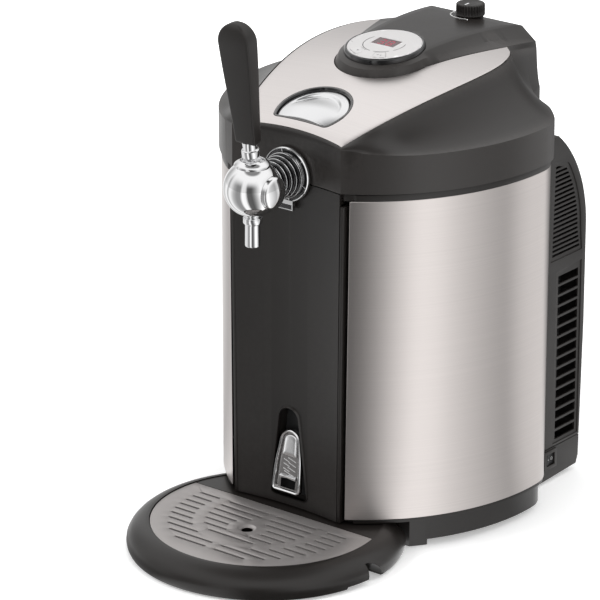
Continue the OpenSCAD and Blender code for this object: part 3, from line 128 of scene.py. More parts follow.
def node_group(name, inputs, outputs):
    tree = bpy.data.node_groups.new(name, "ShaderNodeTree")
    for label, value in inputs:
        kind = "NodeSocketVector" if isinstance(value, tuple) else "NodeSocketFloat"
        socket = tree.interface.new_socket(name=label, in_out="INPUT", socket_type=kind)
        socket.default_value = value
    for label in outputs:
        tree.interface.new_socket(name=label, in_out="OUTPUT", socket_type="NodeSocketFloat")
    return tree, tree.nodes.new("NodeGroupInput"), tree.nodes.new("NodeGroupOutput")


def feed(tree, value, socket):
    """Links an output to the socket, or sets a constant on it."""
    if hasattr(value, "is_linked"):
        tree.links.new(value, socket)
    else:
        socket.default_value = value


def add(tree, kind, *values, **settings):
    """Adds a shader node, sets it up and feeds its first inputs in their order."""
    node = tree.nodes.new("ShaderNode" + kind)
    for label, setting in settings.items():
        setattr(node, label, setting)
    for socket, value in zip(node.inputs, values):
        feed(tree, value, socket)
    return node


def math_node(tree, operation, *values):
    return add(tree, "Math", *values, operation=operation).outputs[0]


def noise_node(tree, vector, scale, detail=2.0, rough=0.5):
    node = add(tree, "TexNoise")
    for label, value in (("Vector", vector), ("Scale", scale), ("Detail", detail), ("Roughness", rough)):
        feed(tree, value, node.inputs[label])
    return node.outputs[0]


def object_place(tree):
    return add(tree, "TexCoord").outputs["Object"]


def grain_effect():
    """Fine moulded grain with a faint cloud of handling marks over it."""
    tree, given, out = node_group("moulded_grain", [("Scale", 1600.0)], ["Height", "Cloud"])
    here = object_place(tree)
    fine = noise_node(tree, here, given.outputs["Scale"], 3.0, 0.6)
    cloud = noise_node(tree, here, 22.0, 4.0, 0.55)
    feed(tree, fine, out.inputs["Height"])
    feed(tree, cloud, out.inputs["Cloud"])
    return tree


def brush_effect():
    """Long fine scratches that run along one way, with a soft drift between them."""
    tree, given, out = node_group(
        "brushed_lines", [("Stretch", (20.0, 20.0, 2200.0))], ["Height", "Streak", "Drift"]
    )
    here = object_place(tree)
    stretched = add(tree, "VectorMath", here, given.outputs["Stretch"], operation="MULTIPLY").outputs[0]
    lines = noise_node(tree, stretched, 1.0, 3.0, 0.65)
    broad = noise_node(tree, stretched, 0.16, 2.0, 0.5)
    drift = noise_node(tree, here, 9.0, 2.0, 0.5)
    feed(tree, lines, out.inputs["Height"])
    feed(tree, math_node(tree, "MULTIPLY", lines, broad), out.inputs["Streak"])
    feed(tree, drift, out.inputs["Drift"])
    return tree


def wear_effect():
    """Where an edge is rubbed: one on convex edges, broken up by noise."""
    tree, given, out = node_group("edge_rub", [("Amount", 0.5)], ["Mask"])
    bend = add(tree, "NewGeometry").outputs["Pointiness"]
    here = object_place(tree)
    edge = math_node(tree, "MULTIPLY", math_node(tree, "SUBTRACT", bend, 0.52), 14.0)
    broken = math_node(tree, "MULTIPLY", edge, noise_node(tree, here, 240.0, 3.0, 0.6))
    total = math_node(tree, "MULTIPLY", broken, given.outputs["Amount"])
    feed(tree, add(tree, "Clamp", total).outputs[0], out.inputs["Mask"])
    return tree


# where round the object each light strip stands, in degrees from the right-hand side, and how bright it is
STRIPS = [
    (-180, 0.9), (-168, 1.25), (-158, 0.5), (-150, 1.15), (-142, 1.1), (-128, 0.6), (-114, 0.36),
    (-100, 0.36), (-92, 1.3), (-80, 1.2), (-72, 0.15), (-57, 0.12), (-50, 0.24), (-40, 0.56), (-30, 1.05),
    (-20, 1.5), (-10, 1.42), (0, 1.12), (10, 0.9), (20, 0.72), (30, 0.56), (40, 0.92), (50, 1.06),
    (62, 1.05), (80, 0.5), (100, 0.22), (120, 0.45), (135, 0.9), (150, 1.15), (165, 0.6), (180, 0.9),
]
# the level that the ramp's white stands for
STRIP_TOP = 1.5
# levels of the sky as light, of the mirrored sky overhead, and of the floor's own glow near the object
SKY_LEVEL, ZENITH_LEVEL, FLOOR_LIFT = 0.4, 1.45, 0.32
# straight overhead the mirrored sky falls off to this share
OVERHEAD_SHARE = 0.25


def strips_effect():
    """Upright light strips round the object, by direction: what its metal and gloss mirror."""
    tree, given, out = node_group("light_strips", [("Towards", (1.0, 0.0, 0.0))], ["Level"])
    split = add(tree, "SeparateXYZ", given.outputs["Towards"]).outputs
    turn = math_node(tree, "ARCTAN2", split["Y"], split["X"])
    share = math_node(tree, "ADD", math_node(tree, "DIVIDE", turn, 2 * math.pi), 0.5)
    ramp = add(tree, "ValToRGB", share)
    stops = ramp.color_ramp.elements
    for degrees, level in STRIPS[1:-1]:
        stops.new((degrees + 180) / 360).color = (*[level / STRIP_TOP] * 3, 1)
    for stop in (stops[0], stops[-1]):
        stop.color = (*[STRIPS[0][1] / STRIP_TOP] * 3, 1)
    feed(tree, math_node(tree, "MULTIPLY", ramp.outputs[0], STRIP_TOP), out.inputs["Level"])
    return tree


EFFECTS = {"grain": grain_effect, "brush": brush_effect, "wear": wear_effect, "strips": strips_effect}
GROUPS = {}


def place_effect(tree, name, **values):
    """Adds a shared effect, which is made on its first use."""
    if name not in GROUPS:
        GROUPS[name] = EFFECTS[name]()
    node = add(tree, "Group", node_tree=GROUPS[name])
    for label, value in values.items():
        node.inputs[label].default_value = value
    return node


def spread(tree, value, low, high, start=0.3, end=0.7, soft=False):
    """Maps a value from start..end to low..high, evenly or with soft ends."""
    easing = "SMOOTHSTEP" if soft else "LINEAR"
    return add(tree, "MapRange", value, start, end, low, high, interpolation_type=easing).outputs[0]


def tint(tree, mask, dark, light):
    """Mixes two colours by a mask. The dark one may be an output."""
    node = add(tree, "Mix", mask, data_type="RGBA")
    feed(tree, dark if hasattr(dark, "is_linked") else (*dark, 1), node.inputs[6])
    feed(tree, (*light, 1), node.inputs[7])
    return node.outputs[2]


def mix_shader(tree, share, first, second):
    return add(tree, "MixShader", share, first, second).outputs[0]


def bump(tree, shader, height, strength, distance):
    node = add(tree, "Bump")
    for label, value in (("Strength", strength), ("Distance", distance), ("Height", height)):
        feed(tree, value, node.inputs[label])
    feed(tree, node.outputs[0], shader.inputs["Normal"])


def new_finish(name, metallic=0.0, **constants):
    made = bpy.data.materials.new(name)
    made.use_nodes = True
    shader = made.node_tree.nodes["Principled BSDF"]
    shader.inputs["Metallic"].default_value = metallic
    for label, value in constants.items():
        shader.inputs[label.replace("_", " ")].default_value = value
    return made, made.node_tree, shader


def plastic(name, colour, rough, grain=0.3, scale=1600.0, coat=0.0, lift=1.25):
    made, tree, shader = new_finish(name, Coat_Weight=coat, Coat_Roughness=0.12, Specular_IOR_Level=0.42)
    marks = place_effect(tree, "grain", Scale=scale)
    rub = place_effect(tree, "wear", Amount=0.5)
    cloudy = tint(tree, marks.outputs["Cloud"], [c * 0.9 for c in colour], [c * lift for c in colour])
    worn = tint(tree, rub.outputs["Mask"], cloudy, [min(1, c * 1.8 + 0.01) for c in colour])
    feed(tree, worn, shader.inputs["Base Color"])
    feed(tree, spread(tree, marks.outputs["Cloud"], rough * 0.92, rough * 1.1), shader.inputs["Roughness"])
    bump(tree, shader, marks.outputs["Height"], grain, 0.00015)
    return made


def metal(name, colour, rough, stretch=None, depth=0.12, aniso=0.0, turn=0.0, metallic=1.0):
    made, tree, shader = new_finish(name, metallic=metallic, Anisotropic=aniso, Anisotropic_Rotation=turn)
    if stretch is None:
        marks = place_effect(tree, "grain", Scale=900.0)
        shade = marks.outputs["Cloud"]
    else:
        marks = place_effect(tree, "brush", Stretch=stretch)
        shade = marks.outputs["Streak"]
    height = marks.outputs["Height"]
    spot = spread(tree, height if stretch else shade, 0.0, 1.0)
    low, high = (0.94, 1.03) if stretch else (0.96, 1.0)
    shades = tint(tree, spot, [c * low for c in colour], [min(1, c * high) for c in colour])
    feed(tree, shades, shader.inputs["Base Color"])
    feed(tree, spread(tree, shade, rough * 0.88, rough * 1.12), shader.inputs["Roughness"])
    bump(tree, shader, height, depth, 0.00004)
    return made


FINISHES = {}


def finish_named(name):
    """The named finish, made on its first use."""
    if name in FINISHES:
        return FINISHES[name]
    colours = bpy.context.scene.dispenser_colours
    grain = 1 / bpy.context.scene.dispenser_sizes.grain_size
    around = (1.6, 1.6, 1900.0)
    across = (4.0, 2600.0, 14.0)
    makers = {
        "moulding": lambda: plastic("satin_moulding", colours.moulding, 0.31, 0.2, grain),
        "panel": lambda: plastic("satin_panel", colours.panel, 0.33, 0.14, grain),
        "housing": lambda: plastic("grained_housing", colours.moulding, 0.46, 0.35, grain * 0.7),
        "handle": lambda: plastic("handle_moulding", colours.moulding, 0.42, 0.16, grain),
        "gloss": lambda: plastic("gloss_bezel", (0.006, 0.006, 0.0065), 0.1, 0.02, grain, coat=0.6),
        "grille": lambda: metal("satin_grille_steel", colours.grille, 0.4, depth=0.1, metallic=0.6),
        "dark": lambda: plastic("dark_moulding", (0.012, 0.012, 0.0125), 0.55, 0.3, grain),
        "rubber": lambda: plastic("soft_rubber", (0.014, 0.014, 0.0145), 0.78, 0.5, 700.0),
        "white": lambda: plastic("pale_moulding", (0.66, 0.66, 0.64), 0.4, 0.1, grain, lift=1.04),
        "foam": lambda: plastic("rigid_foam", (0.72, 0.7, 0.62), 0.9, 0.9, 420.0, lift=1.1),
        "board": lambda: plastic("board_green", (0.01, 0.09, 0.035), 0.4, 0.2, 900.0),
        "ceramic": lambda: plastic("plain_ceramic", (0.75, 0.75, 0.73), 0.3, 0.05, 900.0, lift=1.02),
        "disc": lambda: plastic("silver_lacquer", colours.disc, 0.28, 0.04, 2400.0, coat=0.5, lift=1.03),
        "mark": lambda: plastic("printed_mark", (0.62, 0.62, 0.6), 0.5, 0.02, 2400.0, lift=1.02),
        "ink": lambda: plastic("printed_grey", (0.03, 0.03, 0.031), 0.5, 0.02, 2400.0, lift=1.02),
        "side_steel": lambda: metal("brushed_side_steel", colours.steel, 0.34, around, 0.03, 0.95, 0.25),
        "plate_steel": lambda: metal("brushed_lid_steel", (0.74, 0.7, 0.685), 0.34, across, 0.05, 0.5, 0.0),
        "chrome": lambda: metal("polished_chrome", colours.chrome, 0.045, depth=0.01),
        "dark_chrome": lambda: metal("dark_chrome", (0.3, 0.29, 0.285), 0.16, depth=0.02),
        "satin_chrome": lambda: metal("satin_chrome", (0.76, 0.76, 0.765), 0.15, depth=0.02),
        "alloy": lambda: metal("bare_alloy", (0.6, 0.61, 0.62), 0.34, depth=0.08),
        "zinc": lambda: metal("plated_sheet", (0.5, 0.5, 0.49), 0.4, depth=0.1),
        "window": window_finish,
        "digit": digit_finish,
    }
    FINISHES[name] = makers[name]()
    return FINISHES[name]


def window_finish():
    made, tree, shader = new_finish("tinted_window", Coat_Weight=0.8, Coat_Roughness=0.05)
    marks = place_effect(tree, "grain", Scale=1200.0)
    colour = bpy.context.scene.dispenser_colours.window
    shades = tint(tree, marks.outputs["Cloud"], [c * 0.8 for c in colour], colour)
    feed(tree, shades, shader.inputs["Base Color"])
    feed(tree, spread(tree, marks.outputs["Cloud"], 0.12, 0.18), shader.inputs["Roughness"])
    return made


def digit_finish():
    made, tree, shader = new_finish("lit_digit", Roughness=0.4)
    marks = place_effect(tree, "grain", Scale=1200.0)
    for label, dark, light in (
        ("Base Color", (0.3, 0.02, 0.05), (0.4, 0.03, 0.07)),
        ("Emission Color", (0.4, 0.02, 0.06), (0.5, 0.03, 0.08)),
    ):
        feed(tree, tint(tree, marks.outputs["Cloud"], dark, light), shader.inputs[label])
    shader.inputs["Emission Strength"].default_value = 0.25
    return made


# ---- helpers that make and finish a piece ----


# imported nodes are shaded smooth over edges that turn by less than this, in degrees
SMOOTH_ANGLE = 28


def smooth_tree():
    """A modifier's node tree: smooths all but the sharp edges."""
    name = "smooth_by_angle"
    if name in bpy.data.node_groups:
        return bpy.data.node_groups[name]
    tree = bpy.data.node_groups.new(name, "GeometryNodeTree")
    tree.interface.new_socket(name="Geometry", in_out="INPUT", socket_type="NodeSocketGeometry")
    angle = tree.interface.new_socket(name="Angle", in_out="INPUT", socket_type="NodeSocketFloat")
    angle.default_value = math.radians(SMOOTH_ANGLE)
    tree.interface.new_socket(name="Geometry", in_out="OUTPUT", socket_type="NodeSocketGeometry")
    given, out = tree.nodes.new("NodeGroupInput"), tree.nodes.new("NodeGroupOutput")
    faces, edges, turn, over = (tree.nodes.new(kind) for kind in (
        "GeometryNodeSetShadeSmooth", "GeometryNodeSetShadeSmooth",
        "GeometryNodeInputMeshEdgeAngle", "FunctionNodeCompare"
    ))
    edges.domain = "EDGE"
    edges.inputs["Shade Smooth"].default_value = False
    over.data_type, over.operation = "FLOAT", "GREATER_THAN"
    for source, target in (
        (turn.outputs["Unsigned Angle"], over.inputs[0]),
        (given.outputs["Angle"], over.inputs[1]),
        (given.outputs["Geometry"], faces.inputs["Geometry"]),
        (faces.outputs[0], edges.inputs["Geometry"]),
        (over.outputs[0], edges.inputs["Selection"]),
        (edges.outputs[0], out.inputs["Geometry"]),
    ):
        tree.links.new(source, target)
    return tree


def dress_node(name, finish, edge=0.0):
    """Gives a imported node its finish, a small rounding and smooth shading, all by modifiers."""
    obj = NODES[name]
    obj.data.materials.clear()
    obj.data.materials.append(finish_named(finish))
    weld = obj.modifiers.new("weld", "WELD")
    weld.merge_threshold = 0.000002
    if edge:
        add_bevel(obj, edge, 35, 2)
    smooth = obj.modifiers.new("smooth", "NODES")
    smooth.node_group = smooth_tree()
    socket = [s.identifier for s in smooth.node_group.interface.items_tree if s.name == "Angle"][0]
    smooth[socket] = math.radians(SMOOTH_ANGLE)


def add_bevel(obj, width, angle=30, segments=3):
    bevel = obj.modifiers.new("rounded", "BEVEL")
    bevel.width = width
    bevel.segments = segments
    bevel.limit_method = "ANGLE"
    bevel.angle_limit = math.radians(angle)
    bevel.use_clamp_overlap = True
    bevel.harden_normals = False


def mesh_object(name, bm):
    bmesh.ops.remove_doubles(bm, verts=bm.verts, dist=1e-6)
    bmesh.ops.recalc_face_normals(bm, faces=bm.faces)
    mesh = bpy.data.meshes.new(name)
    bm.to_mesh(mesh)
    bm.free()
    obj = bpy.data.objects.new(name, mesh)
    bpy.context.scene.collection.objects.link(obj)
    return obj


def piece(name, bm, finish, body, slot, stands_for=(), edge=0.0, angle=32, carve_with=()):
    """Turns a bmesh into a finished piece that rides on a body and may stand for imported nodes."""
    obj = mesh_object(name, bm)
    carve(obj, carve_with)
    for polygon in obj.data.polygons:
        polygon.use_smooth = True
    obj.data.set_sharp_from_angle(angle=math.radians(angle))
    obj.data.materials.clear()
    obj.data.materials.append(finish_named(finish))
    if edge:
        add_bevel(obj, edge, 30, 3)
    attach(obj, body)
    if stands_for:
        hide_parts(*stands_for)
    return obj


def carve(obj, cutters):
    """Takes closed cutters out of a closed piece."""
    for bm in cutters:
        cutter = mesh_object("cutter", bm)
        cut = obj.modifiers.new("cut", "BOOLEAN")
        cut.operation = "DIFFERENCE"
        cut.solver = "EXACT"
        cut.object = cutter
        whole = obj.evaluated_get(bpy.context.evaluated_depsgraph_get())
        mesh = bpy.data.meshes.new_from_object(whole)
        obj.modifiers.remove(cut)
        obj.data = mesh
        bpy.data.objects.remove(cutter)


def loft(rings, capped=False, bm=None):
    """Extrudes the first ring of places from ring to ring. All rings have the same count."""
    bm = bm or bmesh.new()
    row = [bm.verts.new(p) for p in rings[0]]
    count = len(row)
    first = edges = [bm.edges.new((row[i], row[(i + 1) % count])) for i in range(count)]
    for ring in rings[1:]:
        grown = bmesh.ops.extrude_edge_only(bm, edges=edges)["geom"]
        fresh = {g for g in grown if isinstance(g, bmesh.types.BMVert)}
        row = [next(e.other_vert(v) for e in v.link_edges if e.other_vert(v) in fresh) for v in row]
        for vert, place in zip(row, ring):
            vert.co = place
        edges = [e for e in (bm.edges.get((row[i], row[(i + 1) % count])) for i in range(count)) if e]
    if capped:
        for end in (first, edges):
            bmesh.ops.contextual_create(bm, geom=end)
    return bm


def turned(profile, steps=72, spot=(0, 0, 0), turn=None, bm=None):
    """Spins a profile of [radius, height] in millimetres about its own axis, then places it."""
    made = bm or bmesh.new()
    old = set(made.verts)
    whole = {"angle": 2 * math.pi, "steps": steps, "use_merge": True, "use_duplicate": False}
    verts = [made.verts.new((r / 1000, 0, h / 1000)) for r, h in profile]
    edges = [made.edges.new(pair) for pair in zip(verts, verts[1:])]
    bmesh.ops.spin(made, geom=verts + edges, axis=(0, 0, 1), cent=(0, 0, 0), dvec=(0, 0, 0), **whole)
    fresh = [v for v in made.verts if v not in old]
    bmesh.ops.remove_doubles(made, verts=fresh, dist=1e-7)
    fresh = [v for v in made.verts if v not in old]
    matrix = moved(*spot) @ (turn or Matrix.Identity(4))
    bmesh.ops.transform(made, matrix=matrix, verts=fresh)
    return made


def block(low, high, bm=None, matrix=None):
    """A box between two places in millimetres; with a matrix it is drawn about the origin and then placed."""
    made = bm or bmesh.new()
    a, b = (Vector(low) / 1000, Vector(high) / 1000) if matrix else (at(*low), at(*high))
    box = Matrix.Translation((a + b) / 2) @ Matrix.Diagonal((*[max(1e-6, q - p) for p, q in zip(a, b)], 1))
    bmesh.ops.create_cube(made, size=1.0, matrix=(matrix @ box) if matrix else box)
    return made


def rod(radius, low, high, spot, turn=None, steps=96):
    """A plain closed rod about its own axis, for carving."""
    return turned([(0, low), (radius, low), (radius, high), (0, high)], steps, spot, turn)


def on_arc(c, r, a):
    return (c[0] + r * math.cos(math.radians(a)), c[1] + r * math.sin(math.radians(a)))


def arc(cx, cy, r, a0, a1, n):
    return [on_arc((cx, cy), r, mix(a0, a1, i / n)) for i in range(n + 1)]


def bent_bar(r0, r1, a0, a1, n, cy=0):
    """Outline of a bar between two radii and two angles round (0, cy)."""
    return arc(0, cy, r1, a0, a1, n) + arc(0, cy, r0, a1, a0, n)


def rounded(points, radius, n=5):
    """A closed outline with every corner rounded; radius may be one value or one for each corner."""
    out = []
    count = len(points)
    for i, p in enumerate(points):
        r = radius[i] if isinstance(radius, (list, tuple)) else radius
        a, b, c = Vector(points[i - 1]), Vector(p), Vector(points[(i + 1) % count])
        u, v = (a - b).normalized(), (c - b).normalized()
        half = u.angle(v) / 2
        if r < 1e-6 or half > 1.5:
            out.append(tuple(b))
            continue
        back = min(r / math.tan(half), (a - b).length * 0.49, (c - b).length * 0.49)
        start, end = b + u * back, b + v * back
        for k in range(n + 1):
            t = k / n
            out.append(tuple((1 - t) ** 2 * start + 2 * t * (1 - t) * b + t * t * end))
    return out


# ---- plan of the body, seen from above ----

SIDE_C, SIDE_R = (-47.0, 172.0), 204.0
BACK_C, BACK_R = (0.0, 90.6), 188.0
CORNER_R = 40.0


def meet(a, ra, b, rb):
    """Where the circles round a and b cross, on the right."""
    dx, dy = b[0] - a[0], b[1] - a[1]
    d = math.hypot(dx, dy)
    u = (dx / d, dy / d)
    k = (ra * ra - rb * rb + d * d) / (2 * d)
    h = math.sqrt(ra * ra - k * k)
    return (a[0] + k * u[0] - h * u[1], a[1] + k * u[1] + h * u[0])


CORNER_C = meet(SIDE_C, SIDE_R - CORNER_R, BACK_C, BACK_R - CORNER_R)
SIDE_A = math.degrees(math.atan2(CORNER_C[1] - SIDE_C[1], CORNER_C[0] - SIDE_C[0]))
BACK_A = math.degrees(math.atan2(CORNER_C[1] - BACK_C[1], CORNER_C[0] - BACK_C[0]))
BOW_R = 366.71
DIP = 5.4
# side view of the rear housing: its rear wall and the rounding of its shoulder
REAR_Y, SHOULDER_R, SHOULDER_Z = 304.0, 129.0, 250.0


def bow_y(x):
    return DIP - BOW_R + math.sqrt(BOW_R * BOW_R - x * x)


def start_at_x(x, off):
    """The angle at which the side's arc, grown by off, passes x."""
    return -math.degrees(math.acos((x - SIDE_C[0]) / (SIDE_R + off)))


PANEL_Z0 = 27.6


def half_w(z):
    """Half the front panel's width at a height."""
    return 58.5 + 3.0 * (z - PANEL_Z0) / (350 - PANEL_Z0)


# ---- lid: one set of rings, shared by the moulding and the steel plate ----

LID_Z0, LID_Z1, CREASE, SEAM = 394.0, 436.0, 386.0, 350.0
TAIL_HW, TAIL_Y = 73.0, 294.0
DISC_Y, NOSE_R, CONSOLE_Z = 147.0, 46.5, 443.6
KNOB_Y = 281.0
# the steel plate's rear corner; where the console's flanks bend, and the console's highest line
PLATE_TAIL = (82.0, 231.0)
BEND_Y, CREST_Y = 238, 212
# the angle on the side's arc at which it meets the body's corner plane
FRONT_A = -math.degrees(math.asin(SIDE_C[1] / SIDE_R))
FRONT_HW = SIDE_C[0] + math.sqrt(SIDE_R**2 - SIDE_C[1] ** 2)
PLATE_T = 1.1

# shares of the rim's side part between which it rounds the body's rear corner
CORNER_FROM, CORNER_TO = 0.79, 0.88
# angles on the back's arc at which the side part ends and at which the rim leaves it for the tail
SIDE_END_A, TAIL_A = 48, 62


def rim(u, over):
    """The lid's outline: the front for u up to 1, the side up to 2, the rear up to 3."""
    if u < 1:
        return (FRONT_HW * u, bow_y(FRONT_HW * u))
    if u < 2:
        t = u - 1
        off = over * math.sin(math.radians(90 * clamp(3 * t)))
        if t < CORNER_FROM:
            return on_arc(SIDE_C, SIDE_R + off, mix(FRONT_A, SIDE_A, t / CORNER_FROM))
        if t < CORNER_TO:
            share = (t - CORNER_FROM) / (CORNER_TO - CORNER_FROM)
            return on_arc(CORNER_C, CORNER_R + off, mix(SIDE_A, BACK_A, share))
        return on_arc(BACK_C, BACK_R + off, mix(BACK_A, SIDE_END_A, (t - CORNER_TO) / (1 - CORNER_TO)))
    v = u - 2
    if v < 0.3:
        return on_arc(BACK_C, BACK_R + over, mix(SIDE_END_A, TAIL_A, v / 0.3))
    if v < 0.5:
        a = on_arc(BACK_C, BACK_R + over, TAIL_A)
        return (mix(a[0], TAIL_HW, (v - 0.3) / 0.2), mix(a[1], TAIL_Y, (v - 0.3) / 0.2))
    return (TAIL_HW * (1 - v) / 0.5, TAIL_Y)


def crease_h(u):
    """Height of the crease round the lid."""
    if u < 1:
        return LID_Z0 - 3
    if u < 2:
        return mix(CREASE, LID_Z0 - 3, clamp(1 - (u - 1) / 0.3) ** 2)
    return mix(CREASE, CREASE - 6, clamp((u - 2) / 0.5))


def plate_z(x, y):
    """Height of the steel plate, which falls off to the front and to its sides."""
    return LID_Z1 - (LID_Z1 - LID_Z0) * max(0.0, 1 - y / PLATE_TAIL[1]) ** 2.2 - 6 * (x / 96) ** 2


def cubic(t):
    """Plan of the plate's side edge, from its front to its rear corner."""
    p = [(FRONT_HW - 2, 3.0), (80.0, 62.0), (121.0, 190.0), PLATE_TAIL]
    w = ((1 - t) ** 3, 3 * (1 - t) ** 2 * t, 3 * (1 - t) * t * t, t**3)
    return tuple(sum(k * q[i] for k, q in zip(w, p)) for i in (0, 1))


def flank(r, hw, u, y1):
    """Plan of the console's flank: its nose for u up to 1.4, then its side and its rear."""
    bend = mix(r, hw, (BEND_Y - DISC_Y) / (TAIL_Y - DISC_Y))
    if u < 1:
        return on_arc((0, DISC_Y), r, mix(-90, -40, u))
    if u < 1.4:
        return on_arc((0, DISC_Y), r, mix(-40, 0, (u - 1) / 0.4))
    if u < 2:
        return (mix(r, bend, (u - 1.4) / 0.6), mix(DISC_Y, BEND_Y, (u - 1.4) / 0.6))
    if u < 2.5:
        return (mix(bend, hw, (u - 2) / 0.5), mix(BEND_Y, y1, (u - 2) / 0.5))
    return (hw * (3 - u) / 0.5, y1)


def console_top(y):
    return CONSOLE_Z - (0.00084 if y < CREST_Y else 0.0009) * (y - CREST_Y) ** 2


def tail(u, start, side, back, z):
    """The rear part of a line on the lid, u from 2 to 3: in to the tail's side, then across its back."""
    k = ease(clamp((u - 2) / 0.5))
    if u < 2.5:
        x, y = mix(start[0], side, k), mix(start[1], back, k)
    else:
        x, y = side * (3 - u) / 0.5, back
    return (x, y, mix(plate_z(x, y), z, k))


def foot(u):
    """Where the console's flank meets the plate."""
    if u < 2:
        x, y = flank(NOSE_R, 90, u, TAIL_Y)
        return (x, y, plate_z(x, y))
    return tail(u, flank(NOSE_R, 90, 2, TAIL_Y), TAIL_HW - 5.5, TAIL_Y - 0.8, 424)


def plate_edge(u):
    """The steel plate's outer edge on the lid."""
    if u < 1:
        x = (FRONT_HW - 2) * u
        return (x, bow_y(x) + 3, plate_z(x, bow_y(x) + 3))
    if u < 2:
        x, y = cubic(u - 1)
        return (x, y, plate_z(x, y))
    return tail(u, PLATE_TAIL, TAIL_HW - 4.5, TAIL_Y - 0.4, 418)


def hollow(u, t, over):
    """The lid's hollow flank, from its crease, t = 0, up to the plate's edge, t = 1."""
    a, b = (*rim(u, over), crease_h(u)), plate_edge(u)
    s = ease(clamp((u - 1) * 4))
    k, h = mix(0.1, 0.66, s), mix(0.8, 0.2, s)
    m = (mix(a[0], b[0], k), mix(a[1], b[1], k), mix(a[2], b[2], h))
    w = ((1 - t) ** 2, 2 * t * (1 - t), t * t)
    return tuple(w[0] * p + w[1] * q + w[2] * r for p, q, r in zip(a, m, b))


def inset(p, g, d):
    """A place moved in towards the lid's middle by g and down by d."""
    vx, vy = p[0], p[1] - 150
    n = math.hypot(vx, vy)
    return (vx * (1 - g / n), 150 + vy * (1 - g / n), p[2] - d)


def on_plate(u, t, drop):
    a, b = plate_edge(u), foot(u)
    x, y = mix(a[0], b[0], t), mix(a[1], b[1], t)
    return (x, y, (plate_z(x, y) if u <= 2 else mix(a[2], b[2], t)) - drop)


def console_point(u, k):
    """Places from the console's shoulder, k = 0, over its edge to its middle, k up to 6."""
    if k == 0:
        x, y = flank(NOSE_R - 3.5, 64.6, u, TAIL_Y - 1.6)
        return (x, y, console_top(y) - mix(3.2, 11, clamp((y - DISC_Y) / (TAIL_Y - DISC_Y))))
    x, y = flank(37.5, 53, u, TAIL_Y - 3)
    if k == 1:
        return (x, y, console_top(y) - 0.8)
    s = (1, 1, 0.97, 0.8, 0.55, 0.3, 0.06)[k]
    x, y = x * s, mix(204, y, s)
    return (x, y, console_top(y) - (0.15 if k == 2 else 0))


def lid_steps(front, side, rear):
    """The lid's parameter u in even steps over its front, its side and its rear."""
    steps = [i / front for i in range(front)] + [1 + i / side for i in range(side)]
    return steps + [2 + i / rear for i in range(rear + 1)]


def whole_ring(half):
    """Closes half a ring of millimetre places with its mirror image."""
    full = half + [(-x, y, z) for x, y, z in half[-2:0:-1]]
    return [at(*p) for p in full]


def button_outline(grow, n=40):
    """Plan of the lid's button: a disc cut off at its front, with rounded corners."""
    r, front, soft = 33.5 + grow, 22 - grow, 3.2 + grow
    x = math.sqrt((r - soft) ** 2 - (front + soft - 40) ** 2)
    a = math.degrees(math.atan2(front + soft - 40, x))
    edge = [(mix(-x, x, i / 12), front + 0.7 * (1 - (i / 6 - 1) ** 2)) for i in range(1, 12)]
    left = arc(-x, front + soft, soft, 180 - a, 270, 6)[1:]
    right = arc(x, front + soft, soft, -90, a, 6)[:-1]
    return arc(0, 40, r, a, 180 - a, n) + left + edge + right


def button_hole():
    """A cutter for the button's place in the plate and in the moulding under it."""
    return loft([[at(x, y, z) for x, y in button_outline(3.05)] for z in (360, 460)], capped=True)


TILT = turn_by(6.5, "X")
DISC_SPOT = (0, DISC_Y, console_top(DISC_Y))
ON_DISC = moved(*DISC_SPOT) @ TILT
KEY_ANGLES = {"left": -117, "right": -63}

# the tap: its ball's middle, the lever's pivot above it, the handle's lean in degrees
TAP_Y, TAP_Z, LEVER_Z, LEAN = -47.6, 355.5, 372, 8.5
REARWARD = turn_by(-90, "X")
# the notch that lets the tap's shank through the panel and the lid's rim
NOTCH_R, NOTCH_Y = 17.8, (-9, 20)


def tap_notch():
    return rod(NOTCH_R, 0, NOTCH_Y[1] - NOTCH_Y[0], (0, NOTCH_Y[0], TAP_Z), REARWARD, 72)


